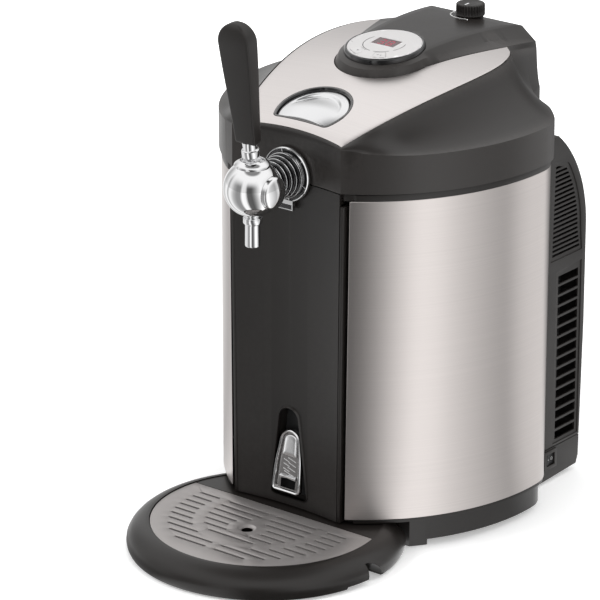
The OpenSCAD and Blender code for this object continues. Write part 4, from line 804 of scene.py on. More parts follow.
class DISPENSER_OT_lid_moulding(bpy.types.Operator):
    """Builds the lid's black moulding: rim band, hollow flanks and console"""

    bl_idname = "dispenser.lid_moulding"
    bl_label = "Lid Moulding"

    def execute(self, context):
        over = context.scene.dispenser_sizes.lid_overhang * 1000
        steps = lid_steps(8, 56, 30)
        wall, seat_r, bore_r = 4.2, 38.3, 29.3

        def sink(u):
            return PLATE_T + 0.4 if u <= 2 else 0.3

        shoulder = [lambda u, t=t: hollow(u, t, over) for t in [i / 10 for i in range(1, 10)]]
        rows = [lambda u, k=k: console_point(u, k) for k in range(6, -1, -1)]
        rows += [lambda u: inset(foot(u), 0.4, -0.4), lambda u: inset(foot(u), -0.2, sink(u))]
        rows += [lambda u, t=t: on_plate(u, t, sink(u)) for t in (0.88, 0.72, 0.54, 0.36, 0.18)]
        rows += [lambda u: inset(plate_edge(u), 0.4, sink(u)), plate_edge]
        rows += shoulder[::-1]
        rows += [lambda u: (*rim(u, over), crease_h(u)), lambda u: (*rim(u, over), SEAM)]
        rows += [
            lambda u: inset((*rim(u, over), SEAM), wall, 0),
            lambda u: inset((*rim(u, over), crease_h(u)), wall, 5)
        ]
        rows += [lambda u, t=t: inset(hollow(u, t, over), wall, 4.5) for t in (0.3, 0.6)]
        rows += [lambda u: inset(plate_edge(u), wall, 5)]
        rows += [lambda u, t=t: inset(on_plate(u, t, 0), 2.5, 5) for t in (0.16, 0.52, 0.86)]
        rows += [lambda u: inset(foot(u), 5.2, 4.5)]
        rows += [lambda u, k=k: inset(console_point(u, k), 5.2 if k < 4 else 1, 4.5) for k in (0, 1, 4, 6)]
        bm = loft([whole_ring([row(u) for u in steps]) for row in rows], capped=True)
        cutters = [
            tap_notch(),
            block((-NOTCH_R, NOTCH_Y[0], 340), (NOTCH_R, 14, TAP_Z)),
            button_hole(),
            rod(seat_r, -2, 20, DISC_SPOT, TILT),
            rod(bore_r, -20, 10, DISC_SPOT, TILT),
        ]
        piece(
            "lid_moulding", bm, "moulding", "lid", "black", ["lid_shell"], edge=0.0004, angle=27,
            carve_with=cutters
        )
        boss = turned(
            [(0, -8), (12.4, -8), (12.4, -0.7), (11.8, 0), (0, 0)], 72, (0, KNOB_Y, console_top(KNOB_Y - 8))
        )
        piece("knob_boss", boss, "moulding", "lid", "black")
        return {"FINISHED"}


class DISPENSER_OT_lid_plate(bpy.types.Operator):
    """Builds the brushed steel plate inlaid in the lid, and the dark line round it"""

    bl_idname = "dispenser.lid_plate"
    bl_label = "Lid Plate"

    def execute(self, context):
        steps = [u for u in lid_steps(10, 60, 1) if u <= 2]
        ts = [0.0, 0.06, 0.14, 0.24, 0.36, 0.48, 0.6, 0.72, 0.84, 0.94, 1.0]

        def column(u):
            def shift(t):
                p = on_plate(u, t, 0)
                return inset(p, 1.4 if t == 0 else (-0.6 if t == 1 else 0), 0)

            top = [shift(t) for t in ts]
            return top + [(x, y, z - PLATE_T) for x, y, z in reversed(top)]

        right = [column(u) for u in steps]
        left = [[(-x, y, z) for x, y, z in col] for col in right[:0:-1]]
        rings = [[at(*p) for p in col] for col in left + right]
        bm = loft(rings, capped=True)
        edge = context.scene.dispenser_sizes.plate_edge
        piece(
            "lid_plate_sheet", bm, "plate_steel", "lid", "steel", ["lid_plate"], edge=edge, angle=40,
            carve_with=[button_hole()]
        )
        return {"FINISHED"}


class DISPENSER_OT_lid_button(bpy.types.Operator):
    """Builds the chromed push-button in the lid, with its finger scoop and black surround"""

    bl_idname = "dispenser.lid_button"
    bl_label = "Lid Button"

    def execute(self, context):
        def top(x, y):
            rise = plate_z(0, 40) + 1.7 + (y - 40) * math.tan(math.radians(17))
            dome = -(x * x + (y - 40) ** 2) / 240
            wall = ease(clamp((27.4 - math.hypot(x, y - 38)) / 2.8))
            return rise + dome - 2.8 * wall * ease(clamp((y - 36) / 24))

        outline = button_outline(0.0, 84)
        rings = [[at(x, y, 386) for x, y in outline]]
        for s, drop in ((1.0, 1.6), (0.992, 0.7), (0.975, 0.2), (0.95, 0.0)):
            rings.append([at(x * s, mix(40, y, s), top(x * s, mix(40, y, s)) - drop) for x, y in outline])
        for i in range(35, 0, -1):
            s = 0.95 * i / 36
            rings.append([at(x * s, mix(40, y, s), top(x * s, mix(40, y, s))) for x, y in outline])
        bm = loft(rings, capped=True)
        piece("button_cap", bm, "satin_chrome", "button", "chrome", ["lid_button"], angle=45)
        self.band(
            "button_surround", "gloss",
            ((0.35, -3.0), (0.35, -0.4), (0.5, 0.0), (2.85, 0.0), (3.0, -0.2), (3.0, -3.0))
        )
        self.band(
            "button_trim", "dark_chrome",
            ((1.5, -1.0), (1.5, 0.1), (1.6, 0.2), (1.85, 0.2), (1.95, 0.1), (1.95, -1.0))
        )
        return {"FINISHED"}

    def band(self, name, finish, profile):
        """A closed band round the button, from its growth and lift over the plate."""
        rings = [
            [at(x, y, plate_z(x, y) + lift) for x, y in button_outline(grow, 72)] for grow, lift in profile
        ]
        piece(name, loft(rings + rings[:1]), finish, "lid", "black", angle=50)


class DISPENSER_OT_controls(bpy.types.Operator):
    """Builds the console's round bezel, silver disc, keys, display window and digits"""

    bl_idname = "dispenser.controls"
    bl_label = "Controls"

    def execute(self, context):
        r = context.scene.dispenser_sizes.disc_width * 500
        bezel = [
            (29.5, -2), (r + 2.6, -2), (r + 2.7, 0.6), (r + 2.5, 2.2), (r + 1.7, 3.2), (r + 0.7, 3.5),
            (r + 0.1, 3.2), (r + 0.1, 0.5), (29.5, 0.5), (29.5, -2)
        ]
        piece(
            "disc_rim", turned(bezel, 120, DISC_SPOT, TILT), "gloss", "lid", "black", ["disc_bezel"],
            angle=40
        )
        rise = [(0, 4.3)] + [(r * i / 12, 4.3 - 0.7 * (i / 12) ** 2) for i in range(1, 12)]
        disc = [(0, 0.6), (r - 0.1, 0.6), (r - 0.05, 3.0), (r - 0.5, 3.5)] + rise[::-1]
        holes = [block((-13.05, -4.55, 1), (13.05, 10.55, 9), matrix=ON_DISC)]
        holes += [self.key(a, 0.35, -1, 9) for a in KEY_ANGLES.values()]
        piece(
            "disc_face", turned(disc, 120, DISC_SPOT, TILT), "disc", "lid", "silver", ["control_disc"],
            edge=0.00025, angle=40, carve_with=holes
        )
        for name, a in KEY_ANGLES.items():
            piece(
                f"key_cap_{name}", self.key(a, 0, 1.6, 4.1), "disc", f"{name}_key", "silver",
                [f"key_{name}"], edge=0.0003, angle=40
            )
        glass = block((-13, -4.5, 1), (13, 10.5, 3.7), matrix=ON_DISC)
        piece("display_glass", glass, "window", "lid", "window", ["display_window"], edge=0.0002)
        self.digits()
        self.marks()
        return {"FINISHED"}

    def key(self, middle, grow, low, high):
        half = 12 + grow * 1.2
        outline = bent_bar(22 - grow, 33 + grow, middle - half, middle + half, 12)
        return loft([[on(ON_DISC, x, y, z) for x, y in outline] for z in (low, high)], capped=True)

    def digits(self):
        bm = bmesh.new()
        lit = {"3": "abgcd", "8": "abcdefg"}
        bars = {
            "a": (0, 5, 1), "g": (0, 0, 1), "d": (0, -5, 1), "f": (-2.6, 2.5, 0), "b": (2.6, 2.5, 0),
            "e": (-2.6, -2.5, 0), "c": (2.6, -2.5, 0)
        }
        for x0, digit in ((-5.2, "3"), (4.2, "8")):
            for bar in lit[digit]:
                x, y, flat = bars[bar]
                w, h = (2.1, 0.42) if flat else (0.42, 1.9)
                block((x0 + x - w, 3 + y - h, 3.66), (x0 + x + w, 3 + y + h, 3.78), bm, ON_DISC)
        piece("display_digits", bm, "digit", "lid", "window")

    def marks(self):
        """Thin printed arcs round the display and a plain mark on each key."""
        bm = bmesh.new()
        top = 4.12
        for a0, a1 in ((-205, -95), (-85, -42), (-30, 20)):
            outline = bent_bar(19.9, 20.6, a0, a1, 24)
            loft([[on(ON_DISC, x, y, z) for x, y in outline] for z in (top - 0.2, top)], True, bm)
        for a, wide, shifts in ((KEY_ANGLES["left"], 1.6, (0,)), (KEY_ANGLES["right"], 1, (-1.6, 1.6))):
            x, y = on_arc((0, 0), 27.5, a)
            for dx in shifts:
                for i in range(3):
                    w = (1.3 - 0.4 * i) * wide
                    low = (x + dx - w / 2, y - 0.9 + 0.7 * i, 4.05)
                    high = (x + dx + w / 2, y - 0.5 + 0.7 * i, 4.18)
                    block(low, high, bm, ON_DISC)
        piece("disc_marks", bm, "ink", "lid", "black")


class DISPENSER_OT_knob(bpy.types.Operator):
    """Builds the ribbed pressure knob and the printed scale under it"""

    bl_idname = "dispenser.knob"
    bl_label = "Pressure Knob"

    def execute(self, context):
        ribs = context.scene.dispenser_sizes.knob_ribs
        z0 = console_top(KNOB_Y - 8)
        rings = []
        profile = [
            (0.4, 13.2, 0), (0.6, 13.6, 0), (1.3, 13.9, 0), (1.7, 13.9, 0.2), (2.1, 13.9, 0.9),
            (6.0, 13.85, 0.95), (10.6, 13.75, 0.9)
        ]
        profile += [
            (11.4, 13.4, 0.5), (11.8, 12.7, 0.15), (12.1, 11.5, 0), (12.2, 10.4, 0), (11.9, 9.8, 0),
            (11.8, 0.5, 0)
        ]
        count = ribs * 6
        for h, r, deep in profile:
            ring = []
            for i in range(count):
                a = 2 * math.pi * i / count
                wave = deep * (0.5 - 0.5 * math.cos(ribs * a)) ** 0.7
                ring.append(at((r - wave) * math.cos(a), KNOB_Y + (r - wave) * math.sin(a), z0 + h))
            rings.append(ring)
        piece("knob_grip", loft(rings, capped=True), "handle", "knob", "black", ["pressure_knob"], angle=50)
        pointer = block((-0.7, KNOB_Y - 9.0, z0 + 11.7), (0.7, KNOB_Y - 3.0, z0 + 12.05))
        piece("knob_pointer", pointer, "mark", "knob", "black")
        self.scale(z0)
        return {"FINISHED"}

    def scale(self, z0):
        bm = bmesh.new()
        ticks = [(a - 1.4, a + 1.4, 20.6, 22.4) for a in (-186, -62)]
        for a0, a1, r0, r1 in [(-186, -62, 18.4, 19.5), *ticks]:
            n = max(2, int(abs(a1 - a0) / 4))
            outline = bent_bar(r0, r1, a0, a1, n, KNOB_Y)
            rings = [[at(x, y, console_top(y) + lift) for x, y in outline] for lift in (-0.4, 0.14)]
            loft(rings, True, bm)
        piece("knob_scale", bm, "mark", "lid", "silver")


class DISPENSER_OT_steel_sides(bpy.types.Operator):
    """Builds the two rolled steel skins of the body"""

    bl_idname = "dispenser.steel_sides"
    bl_label = "Steel Sides"

    def execute(self, context):
        z0, z1, t = 31.4, 343.0, 1.2
        end = math.degrees(math.acos(112 / BACK_R))

        def outline(z, off):
            a0 = start_at_x(half_w(z) + 8, off)
            pts = arc(*SIDE_C, SIDE_R + off, a0, SIDE_A, 90)
            pts += arc(*CORNER_C, CORNER_R + off, SIDE_A, BACK_A, 24)[1:]
            pts += arc(*BACK_C, BACK_R + off, BACK_A, end, 8)[1:]
            return pts

        corners = [outline(z0, 0), outline(z1, 0), outline(z1, -t), outline(z0, -t)]
        heights = (z0, z1, z1, z0)
        for side, name in ((1, "right"), (-1, "left")):
            rings = [
                [at(side * c[i][0], c[i][1], h) for c, h in zip(corners, heights)]
                for i in range(len(corners[0]))
            ]
            bm = loft(rings, capped=True)
            piece(
                f"steel_skin_{name}", bm, "side_steel", "cabinet", "steel", [f"side_wrap_{name}"],
                edge=0.00055, angle=40
            )
        return {"FINISHED"}


class DISPENSER_OT_tap_handle(bpy.types.Operator):
    """Builds the paddle-shaped tap handle, leaning with its lever"""

    bl_idname = "dispenser.tap_handle"
    bl_label = "Tap Handle"

    def execute(self, context):
        sizes = context.scene.dispenser_sizes
        w0, w1 = sizes.handle_foot * 1000, sizes.handle_head * 1000
        lean = moved(0, TAP_Y, LEVER_Z) @ turn_by(LEAN, "X")
        rings = []
        foot_z, tall, dome = 29.0, 98, 17.7

        def section(w, t, h, soft):
            corner = min(w, t) / 2 * soft
            pts = [(-w / 2, -t / 2), (w / 2, -t / 2), (w / 2 - 1.5, t / 2), (-w / 2 + 1.5, t / 2)]
            ring = rounded(pts, [corner * 0.42, corner * 0.42, corner, corner], 6)
            return [on(lean, x, y, foot_z + h) for x, y in ring]

        for h in [0, 0.6, 2, 6, 14, 24, 34, 44, 54, 64, 72, 80, 87, 93, tall]:
            k = h / tall
            w = mix(w0, w1, ease(k) * 0.55 + k * 0.45)
            t = mix(13.5, 19.0, k)
            shrink = 1.2 if h == 0 else (0.3 if h == 0.6 else 0)
            rings.append(section(w - shrink, t - shrink, h, 0.62))
        for i in range(1, 11):
            a = math.radians(i * 8.8)
            w, t = w1 * math.cos(a) ** 0.9, 19.0 * math.cos(a) ** 0.62
            rings.append(
                section(max(w, 1.2), max(t, 1.0), tall + dome * math.sin(a), mix(0.62, 0.98, i / 10))
            )
        piece(
            "handle_paddle", loft(rings, capped=True), "handle", "lever", "black", ["tap_handle"], angle=38
        )
        return {"FINISHED"}


class DISPENSER_OT_opener(bpy.types.Operator):
    """Builds the chromed bottle opener in the front panel's pocket"""

    bl_idname = "dispenser.opener"
    bl_label = "Bottle Opener"

    def execute(self, context):
        lean = moved(0, 2.5, 40.5) @ turn_by(-9, "X")

        def outline(grow, n=14):
            top = arc(0, 50.5, 12.2 + grow, 6, 174, n)
            left = [(-14.9 - grow, 32)] + arc(-11.6, 6.6, 5.0 + grow, 182, 262, 6)
            right = arc(11.6, 6.6, 5.0 + grow, 278, 358, 6) + [(14.9 + grow, 32)]
            return top + left + right

        def ring(grow, y):
            return [on(lean, x, y, z) for x, z in outline(grow)]

        rail_form = [
            (-2.9, -1.2), (-2.9, -4.4), (-2.4, -5.4), (-1.5, -5.9), (-0.5, -5.4), (0, -4.2), (0, -1.0),
            (-2.9, -1.2)
        ]
        piece(
            "opener_rail", loft([ring(*p) for p in rail_form]), "chrome", "cabinet", "chrome",
            ["bottle_opener"], angle=50
        )
        back = loft([ring(-2.6, -1.6), ring(-2.6, -0.2)], capped=True)
        mouth = block((-8.6, -9, 5.2), (8.6, 9, 15), matrix=lean)
        piece("opener_back", back, "dark_chrome", "cabinet", "chrome", edge=0.0003, carve_with=[mouth])
        pad = rounded([(-8.2, 36.5), (8.2, 36.5), (6.9, 57.5), (-6.9, 57.5)], [1.2, 1.2, 7, 7], 7)
        rings = []
        for s, y in ((1.0, -1.4), (1.0, -3.0), (0.96, -3.7), (0.88, -4.1), (0.5, -4.3), (0.1, -4.35)):
            rings.append([on(lean, x * s, y, mix(47, z, s)) for x, z in pad])
        piece("opener_pad", loft(rings, capped=True), "satin_chrome", "cabinet", "chrome", angle=45)
        ribs = bmesh.new()
        for x, z, half in (
            (2.6, 33.2, 5.2), (-3.6, 31.6, 3.6), (3.4, 28.6, 4.6), (-3.2, 27.4, 3.8), (3.0, 24.0, 5.0),
            (-3.0, 22.6, 4.0), (1.0, 19.4, 6.6)
        ):
            turn = lean @ Matrix.Translation((x / 1000, 0, z / 1000)) @ turn_by(16, "Y")
            block((-half, -2.4, -0.4), (half, -1.3, 0.4), ribs, turn)
        piece("opener_ribs", ribs, "chrome", "cabinet", "chrome", edge=0.00025)
        lip = []
        for x in (-9.4, -6, -3, 0, 3, 6, 9.4):
            form = ((-1.4, 14.4), (-3.6, 15.4 - abs(x) * 0.12), (-4.2, 17.0 - abs(x) * 0.06), (-1.4, 18.6))
            lip.append([on(lean, x, y, z) for y, z in form])
        piece(
            "opener_lip", loft(lip, capped=True), "satin_chrome", "cabinet", "chrome", edge=0.0004, angle=30
        )
        return {"FINISHED"}


class DISPENSER_OT_tap(bpy.types.Operator):
    """Builds the tap's chromed ball, cap, bonnet, spout, stem and locking ring"""

    bl_idname = "dispenser.tap"
    bl_label = "Tap"

    def execute(self, context):
        middle = (0, TAP_Y, TAP_Z)
        sideways = turn_by(90, "Y")
        ball = [on_arc((0, 0), 26.6, a) for a in range(-82, 68, 3)]
        ball = [(0, -26.35)] + ball + [(10.9, 24.2), (10.9, 12.0), (0, 12.0)]
        seat = rod(15.4, 21.5, 40, middle, sideways)
        self.chromed("tap_ball", turned(ball, 96, middle), ["tap_body"], 35, carve_with=[seat])
        cap = [
            (28 * math.sin(math.radians(a)), 2.6 + 28 * math.cos(math.radians(a))) for a in range(4, 30, 3)
        ]
        cap = [(0, 30.6)] + cap + [(14.6, 26.2), (15.0, 25.4), (15.0, 21.5), (0, 21.5)]
        self.chromed("tap_cap", turned(cap, 72, middle, sideways), ["tap_side_cap"])
        bonnet = [
            (9.2, 21.6), (16.4, 21.6), (16.9, 22.0), (16.7, 22.8), (15.8, 23.9), (14.4, 25.0), (12.6, 26.1),
            (11.5, 26.5), (11.0, 26.3), (10.8, 25.6), (10.8, 23.6), (9.2, 23.6), (9.2, 21.6)
        ]
        self.chromed("tap_collar", turned(bonnet, 72, middle), ["tap_bonnet"])
        spout = [
            (4.6, -55.2), (6.5, -55.2), (7.0, -54.8), (7.2, -54.1), (7.0, -35.2), (7.3, -34.0),
            (8.3, -33.4), (8.8, -32.8), (8.8, -28.2), (8.3, -27.4), (7.0, -26.6), (6.2, -22), (4.6, -22),
            (4.6, -55.2)
        ]
        self.chromed("tap_nozzle", turned(spout, 64, middle), ["tap_spout"])
        stem = [(0, -11)] + [on_arc((0, 0), 11, a) for a in range(-80, 56, 5)]
        stem += [
            (6.0, 9.8), (6.0, 12.8), (7.4, 13.6), (8.0, 14.2), (8.2, 15.0), (8.2, 20.2), (7.9, 20.9),
            (7.0, 21.3), (6.5, 22.0), (6.4, 22.8), (6.8, 28.0), (7.2, 29.2), (0, 29.4)
        ]
        stem = turned(stem, 64, (0, TAP_Y, LEVER_Z), turn_by(LEAN, "X"))
        self.chromed("lever_stem", stem, ["tap_lever"], body="lever")
        self.shank((0, 0, TAP_Z))
        self.locking_ring((0, 0, TAP_Z))
        return {"FINISHED"}

    def chromed(self, name, bm, stands_for=(), angle=40, body="cabinet", **details):
        piece(name, bm, "chrome", body, "chrome", stands_for, angle=angle, **details)

    def shank(self, spot):
        """The ribbed cone behind the ball, with a bright hoop on each of its five ribs."""
        cone, hoops = [], bmesh.new()
        for i in range(5):
            a, r = -26.2 + 5.0 * i, 14.6 + 1.5 * i
            cone += [
                (r - 1.4, a), (r + 0.3, a + 0.5), (r + 0.7, a + 2.2), (r + 0.4, a + 3.9), (r - 1.2, a + 4.6)
            ]
            hoop = [(0.5, 1.7), (0.85, 1.8), (0.95, 2.1), (0.85, 2.4), (0.5, 2.5), (0.5, 1.7)]
            turned([(r + out, a + up) for out, up in hoop], 72, spot, REARWARD, hoops)
        cone = [(0, -22.0), (13.0, -26.0)] + cone + [
            (17.0, -1.2), (17.0, 10.9), (20.0, 11.0), (20.0, 14.0), (9.0, 14.2), (9.0, 26.0), (0, 26.0)
        ]
        ball = [(0, -26.7)] + [on_arc((0, 0), 26.7, a) for a in range(-86, 90, 4)] + [(0, 26.7)]
        around_ball = turned(ball, 96, (0, TAP_Y, TAP_Z))
        piece(
            "shank_cone", turned(cone, 72, spot, REARWARD), "gloss", "cabinet", "dark", ["tap_shank"],
            angle=35, carve_with=[around_ball]
        )
        self.chromed("shank_hoops", hoops, angle=60)

    def locking_ring(self, spot):
        """The ring round the shank, with its six webs and the tab that turns it."""
        ring = [
            (17.1, 3.2), (25.2, 3.2), (26.0, 2.6), (26.1, 1.4), (25.8, 0.0), (25.2, -0.7), (24.6, -0.6),
            (24.2, 0.2), (24.1, 1.0), (22.6, 1.2), (20.9, 1.0), (20.6, -1.9), (20.1, -2.5), (19.5, -2.5),
            (19.1, -1.9), (19.0, 0.6), (17.1, 0.8), (17.1, 3.2)
        ]
        self.chromed(
            "ring_face", turned(ring, 96, spot, REARWARD), ["tap_locking_ring"], 35, "locking_ring"
        )
        well = [(20.75, 0.4), (24.0, 0.5), (24.0, 1.25), (20.75, 1.25), (20.75, 0.4)]
        piece("ring_well", turned(well, 96, spot, REARWARD), "gloss", "locking_ring", "dark", angle=35)
        webs = bmesh.new()
        for a in (20, 80, 140, 200, 260, 320):
            block((20.4, -0.9, -0.32), (24.5, 0.6, 0.32), webs, moved(*spot) @ turn_by(a, "Y"))
        self.chromed("ring_webs", webs, angle=32, body="locking_ring", edge=0.0002)
        z = TAP_Z
        tab = block((-8.5, -1.4, z - 33), (8.5, 3.2, z - 23.5))
        inner = block((-7.6, -2.4, z - 32.2), (7.6, -0.3, z - 27.6))
        self.chromed("ring_tab", tab, angle=32, body="locking_ring", edge=0.0003, carve_with=[inner])
        inlay = block((-7.5, -0.5, z - 32.1), (7.5, 0.4, z - 27.7))
        piece("tab_inlay", inlay, "gloss", "locking_ring", "dark", edge=0.0001)


class DISPENSER_OT_panel(bpy.types.Operator):
    """Builds the bowed front panel, smooth, with the opener's pocket and the tap's notch"""

    bl_idname = "dispenser.panel"
    bl_label = "Front Panel"

    def execute(self, context):
        z0, z1, thick = PANEL_Z0, 349.0, 3
        rings = []
        for i in range(49):
            s = 2 * i / 48 - 1
            col = []
            for z, d in ((z0, 0), (z1, 0), (z1, thick), (z0, thick)):
                x = s * half_w(z)
                col.append(at(x, bow_y(x) + d, z))
            rings.append(col)
        bm = loft(rings, capped=True)
        pocket = loft([self.pocket_ring(0, y) for y in (-9, 9)], capped=True)
        piece(
            "panel_face", bm, "panel", "cabinet", "black", ["front_panel"], edge=0.0008, angle=40,
            carve_with=[pocket, tap_notch()]
        )
        cup = [
            self.pocket_ring(grow, y) for grow, y in ((0, 3.2), (0, 17.4), (2, 17.4), (2, 6.0), (0, 3.2))
        ]
        piece("pocket_wall", loft(cup), "panel", "cabinet", "black", angle=50)
        floor = loft([self.pocket_ring(1, y) for y in (16.9, 19.4)], capped=True)
        piece("pocket_floor", floor, "dark", "cabinet", "black")
        return {"FINISHED"}

    def pocket_ring(self, grow, y):
        """Outline of the opener's pocket, grown and set at a depth."""
        outline = arc(0, 114.5, 11.5 + grow, 8, 172, 16)
        outline += arc(-16, 41, 5 + grow, 180, 262, 6) + arc(16, 41, 5 + grow, 278, 360, 6)
        return [at(x, y, z) for x, z in outline]


class DISPENSER_OT_slot_shade_sheets(bpy.types.Operator):
    """Builds thin dark sheets inside the rear housing, well behind its slots: painted shade that stands for
    the dark inside seen through the slots
    """

    bl_idname = "dispenser.slot_screens"
    bl_label = "Slot Shade Sheets"

    def execute(self, context):
        wall = 3.05
        shoulder = arc(REAR_Y - SHOULDER_R, SHOULDER_Z, SHOULDER_R - wall, 0, 36, 8)
        outline = [(239, 38), (REAR_Y - wall, 38), *shoulder, (239, 330)]
        for side, name in ((1, "right"), (-1, "left")):
            rings = [[at(side * x, y, z) for y, z in outline] for x in (96, 97)]
            # each sheet is painted shade: a dark sheet that stands for the shade inside the housing, seen
            # through its slots
            piece(f"slot_shade_sheet_{name}", loft(rings, capped=True), "dark", "cabinet", "dark", angle=30)
        return {"FINISHED"}


class DISPENSER_OT_switch_marks(bpy.types.Operator):
    """Builds the plain bar and ring printed on the two halves of the rocker switch"""

    bl_idname = "dispenser.switch_marks"
    bl_label = "Switch Marks"

    def execute(self, context):
        spot, middle, half, slope = (119, 252, 24.5), 3.6, 3.3, 7.85
        pressed = turn_by(7, "Z")

        def face(way):
            """A place on the front (-1) or rear (1) half of the rocker, with X along its normal."""
            out = (middle + half * math.tan(math.radians(slope))) / 1000
            return pressed @ Matrix.Translation((out, way * half / 1000, 0)) @ turn_by(-way * slope, "Z")

        lift = 0.1
        form = [(1.05, -lift), (1.45, -lift), (1.45, lift), (1.05, lift), (1.05, -lift)]
        marks = turned(form, 32, spot, face(1) @ turn_by(90, "Y"))
        block((-lift, -1.2, -0.22), (lift, 1.2, 0.22), marks, moved(*spot) @ face(-1))
        piece("switch_marks", marks, "mark", "rocker", "silver", angle=40)
        return {"FINISHED"}


class DISPENSER_OT_dress_nodes(bpy.types.Operator):
    """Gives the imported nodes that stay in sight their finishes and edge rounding"""

    bl_idname = "dispenser.dress_nodes"
    bl_label = "Dress Packed Nodes"

    def execute(self, context):
        edge = context.scene.dispenser_sizes.edge_round
        plan = {
            "moulding": [
                "base", "corner_trim_left", "corner_trim_right", "deck_ring", "hinge_base", "hinge_knuckle",
                "drip_tray"
            ],
            "housing": ["rear_housing", "fan_grille", "switch_bezel"],
            "dark": [
                "rocker_switch", "fan_frame", "fan_rotor", "mains_inlet", "well_stand", "lid_pan",
                "lid_hook"
            ],
            "rubber": ["rubber_feet", "lid_seal"],
            "alloy": [
                "keg_well", "cold_block", "heat_sink", "valve_plug", "knob_spindle", "gas_regulator",
                "gas_cartridge"
            ],
            "zinc": ["power_supply", "hook_catch"],
            "foam": ["foam_jacket"],
            "white": ["lid_liner", "beer_hose", "keg_coupler"],
            "ceramic": ["peltier_module"],
            "board": ["circuit_board", "control_board"],
            "chrome": ["hinge_pin", "base_screws", "button_spring"],
            "grille": ["drip_grille"],
        }
        rounded_nodes = {*plan["moulding"], *plan["housing"], *plan["grille"], "rocker_switch"}
        rounded_nodes.remove("drip_tray")
        for finish, names in plan.items():
            for name in names:
                dress_node(name, finish, edge if name in rounded_nodes else 0.0)
        return {"FINISHED"}


# the camera fitted to the photograph: its place, how far it looks down and is turned, and its lens
CAMERA_SPOT = (2137.6, -2676.3, 1528.3)
CAMERA_DOWN, CAMERA_TURN, CAMERA_LENS = 20.7, 38.4, 240.0


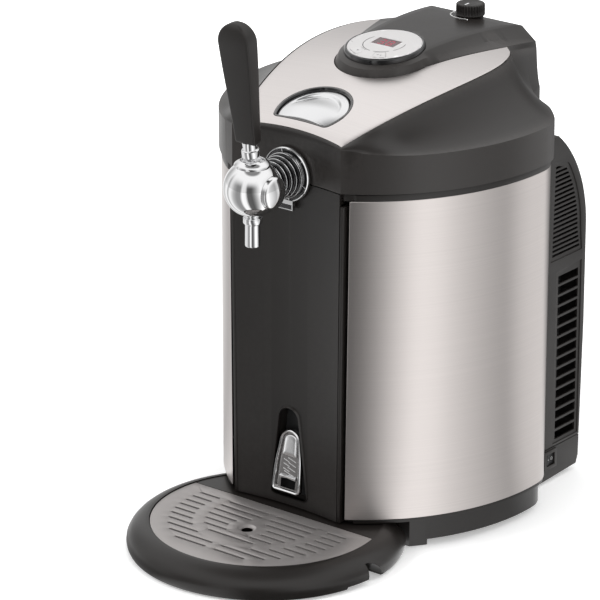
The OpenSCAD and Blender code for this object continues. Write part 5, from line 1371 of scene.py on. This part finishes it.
class DISPENSER_OT_stage(bpy.types.Operator):
    """Places the camera, the lamps, the pale floor and the plain world"""

    bl_idname = "dispenser.stage"
    bl_label = "Stage"

    def execute(self, context):
        scene = context.scene
        scene.view_settings.view_transform = "Standard"
        data = bpy.data.cameras.new("camera")
        data.sensor_width = 36.0
        data.lens = CAMERA_LENS
        data.clip_end = 60.0
        camera = bpy.data.objects.new("camera", data)
        camera.location = at(*CAMERA_SPOT)
        camera.rotation_euler = (math.radians(90 - CAMERA_DOWN), 0, math.radians(CAMERA_TURN))
        scene.collection.objects.link(camera)
        scene.camera = camera
        self.lamps(scene)
        self.world(scene)
        bm = bmesh.new()
        bmesh.ops.create_grid(bm, x_segments=8, y_segments=8, size=6.0)
        floor = mesh_object("floor", bm)
        floor.data.materials.append(self.floor_finish(scene))
        return {"FINISHED"}

    def lamps(self, scene):
        """Four soft area lamps that no reflection shows: name, place, height aimed at, size and power."""
        for name, place, aim, size, power in (
            ("key", (-1.3, -1.5, 2.0), 0.25, (1.4, 1.0), 30),
            ("fill", (2.2, -0.7, 1.2), 0.22, (0.8, 1.6), 14),
            ("top", (0.0, 0.3, 2.3), 0.3, (1.6, 1.6), 22),
            ("rim", (0.9, 1.9, 1.4), 0.3, (0.9, 1.4), 14),
        ):
            lamp = bpy.data.lights.new(name, "AREA")
            lamp.shape = "RECTANGLE"
            lamp.size, lamp.size_y = size
            lamp.energy = power
            obj = bpy.data.objects.new(name, lamp)
            obj.location = place
            obj.rotation_euler = (Vector((0, 0, aim)) - Vector(place)).to_track_quat("-Z", "Y").to_euler()
            obj.visible_glossy = False
            scene.collection.objects.link(obj)

    def world(self, scene):
        """White to the camera, an even sky for light, and soft upright light strips for reflections."""
        world = bpy.data.worlds.new("studio")
        scene.world = world
        world.use_nodes = True
        tree = world.node_tree
        tree.nodes.clear()
        out = add(tree, "OutputWorld")
        seen, mirrored = add(tree, "Background", (1, 1, 1, 1)), add(tree, "Background")
        soft = add(tree, "Background", (0.97, 0.98, 1.0, 1), SKY_LEVEL)
        towards = add(tree, "TexCoord").outputs["Generated"]
        strips = place_effect(tree, "strips")
        feed(tree, towards, strips.inputs["Towards"])
        up = add(tree, "SeparateXYZ", towards).outputs["Z"]
        level = add(tree, "Mix", spread(tree, up, 0.0, 1.0, 0.22, 0.72, soft=True))
        feed(tree, strips.outputs["Level"], level.inputs[2])
        level.inputs[3].default_value = ZENITH_LEVEL
        overhead = spread(tree, up, 1.0, OVERHEAD_SHARE, 0.87, 0.94, soft=True)
        feed(tree, math_node(tree, "MULTIPLY", level.outputs[0], overhead), mirrored.inputs["Strength"])
        path = add(tree, "LightPath").outputs
        lit = mix_shader(tree, path["Is Glossy Ray"], soft.outputs[0], mirrored.outputs[0])
        shown = mix_shader(tree, path["Is Camera Ray"], lit, seen.outputs[0])
        feed(tree, shown, out.inputs["Surface"])

    def floor_finish(self, scene):
        """A white floor that keeps the shadow near by; in reflections it carries the same light strips."""
        made, tree, shader = new_finish("pale_floor", Roughness=0.6)
        shader.inputs["Base Color"].default_value = (*scene.dispenser_colours.floor, 1)
        shader.inputs["Emission Color"].default_value = (1, 1, 0.995, 1)
        path = add(tree, "LightPath").outputs
        here = object_place(tree)
        away = add(tree, "VectorMath", here, operation="LENGTH").outputs["Value"]
        lift = spread(tree, away, FLOOR_LIFT, 1.0, 0.7, 1.6, soft=True)
        glowing = math_node(tree, "MULTIPLY", path["Is Camera Ray"], lift)
        feed(tree, glowing, shader.inputs["Emission Strength"])
        strips = place_effect(tree, "strips")
        feed(tree, here, strips.inputs["Towards"])
        glow = add(tree, "Emission")
        feed(tree, strips.outputs["Level"], glow.inputs["Strength"])
        either = mix_shader(tree, path["Is Glossy Ray"], shader.outputs[0], glow.outputs[0])
        feed(tree, either, tree.nodes["Material Output"].inputs["Surface"])
        return made


STEPS = [
    DISPENSER_OT_stage,
    DISPENSER_OT_dress_nodes,
    DISPENSER_OT_steel_sides,
    DISPENSER_OT_panel,
    DISPENSER_OT_opener,
    DISPENSER_OT_lid_moulding,
    DISPENSER_OT_lid_plate,
    DISPENSER_OT_lid_button,
    DISPENSER_OT_controls,
    DISPENSER_OT_knob,
    DISPENSER_OT_tap,
    DISPENSER_OT_tap_handle,
    DISPENSER_OT_slot_shade_sheets,
    DISPENSER_OT_switch_marks,
]


class DISPENSER_PT_panel(bpy.types.Panel):
    """Lists the sizes, colours and building steps in the 3D view's sidebar"""

    bl_idname = "DISPENSER_PT_panel"
    bl_label = "Keg Dispenser"
    bl_space_type = "VIEW_3D"
    bl_region_type = "UI"
    bl_category = "Dispenser"

    def draw(self, context):
        for group in (context.scene.dispenser_sizes, context.scene.dispenser_colours):
            box = self.layout.box()
            for name in group.__annotations__:
                box.prop(group, name)
        for step in STEPS:
            self.layout.operator(step.bl_idname)


CLASSES = [DispenserSizes, DispenserColours, *STEPS, DISPENSER_PT_panel]


def register():
    for cls in CLASSES:
        bpy.utils.register_class(cls)
    bpy.types.Scene.dispenser_sizes = bpy.props.PointerProperty(type=DispenserSizes)
    bpy.types.Scene.dispenser_colours = bpy.props.PointerProperty(type=DispenserColours)


def unregister():
    del bpy.types.Scene.dispenser_colours
    del bpy.types.Scene.dispenser_sizes
    for cls in reversed(CLASSES):
        bpy.utils.unregister_class(cls)


def main():
    register()
    for step in STEPS:
        group, name = step.bl_idname.split(".")
        getattr(getattr(bpy.ops, group), name)()


if __name__ == "__main__":
    main()
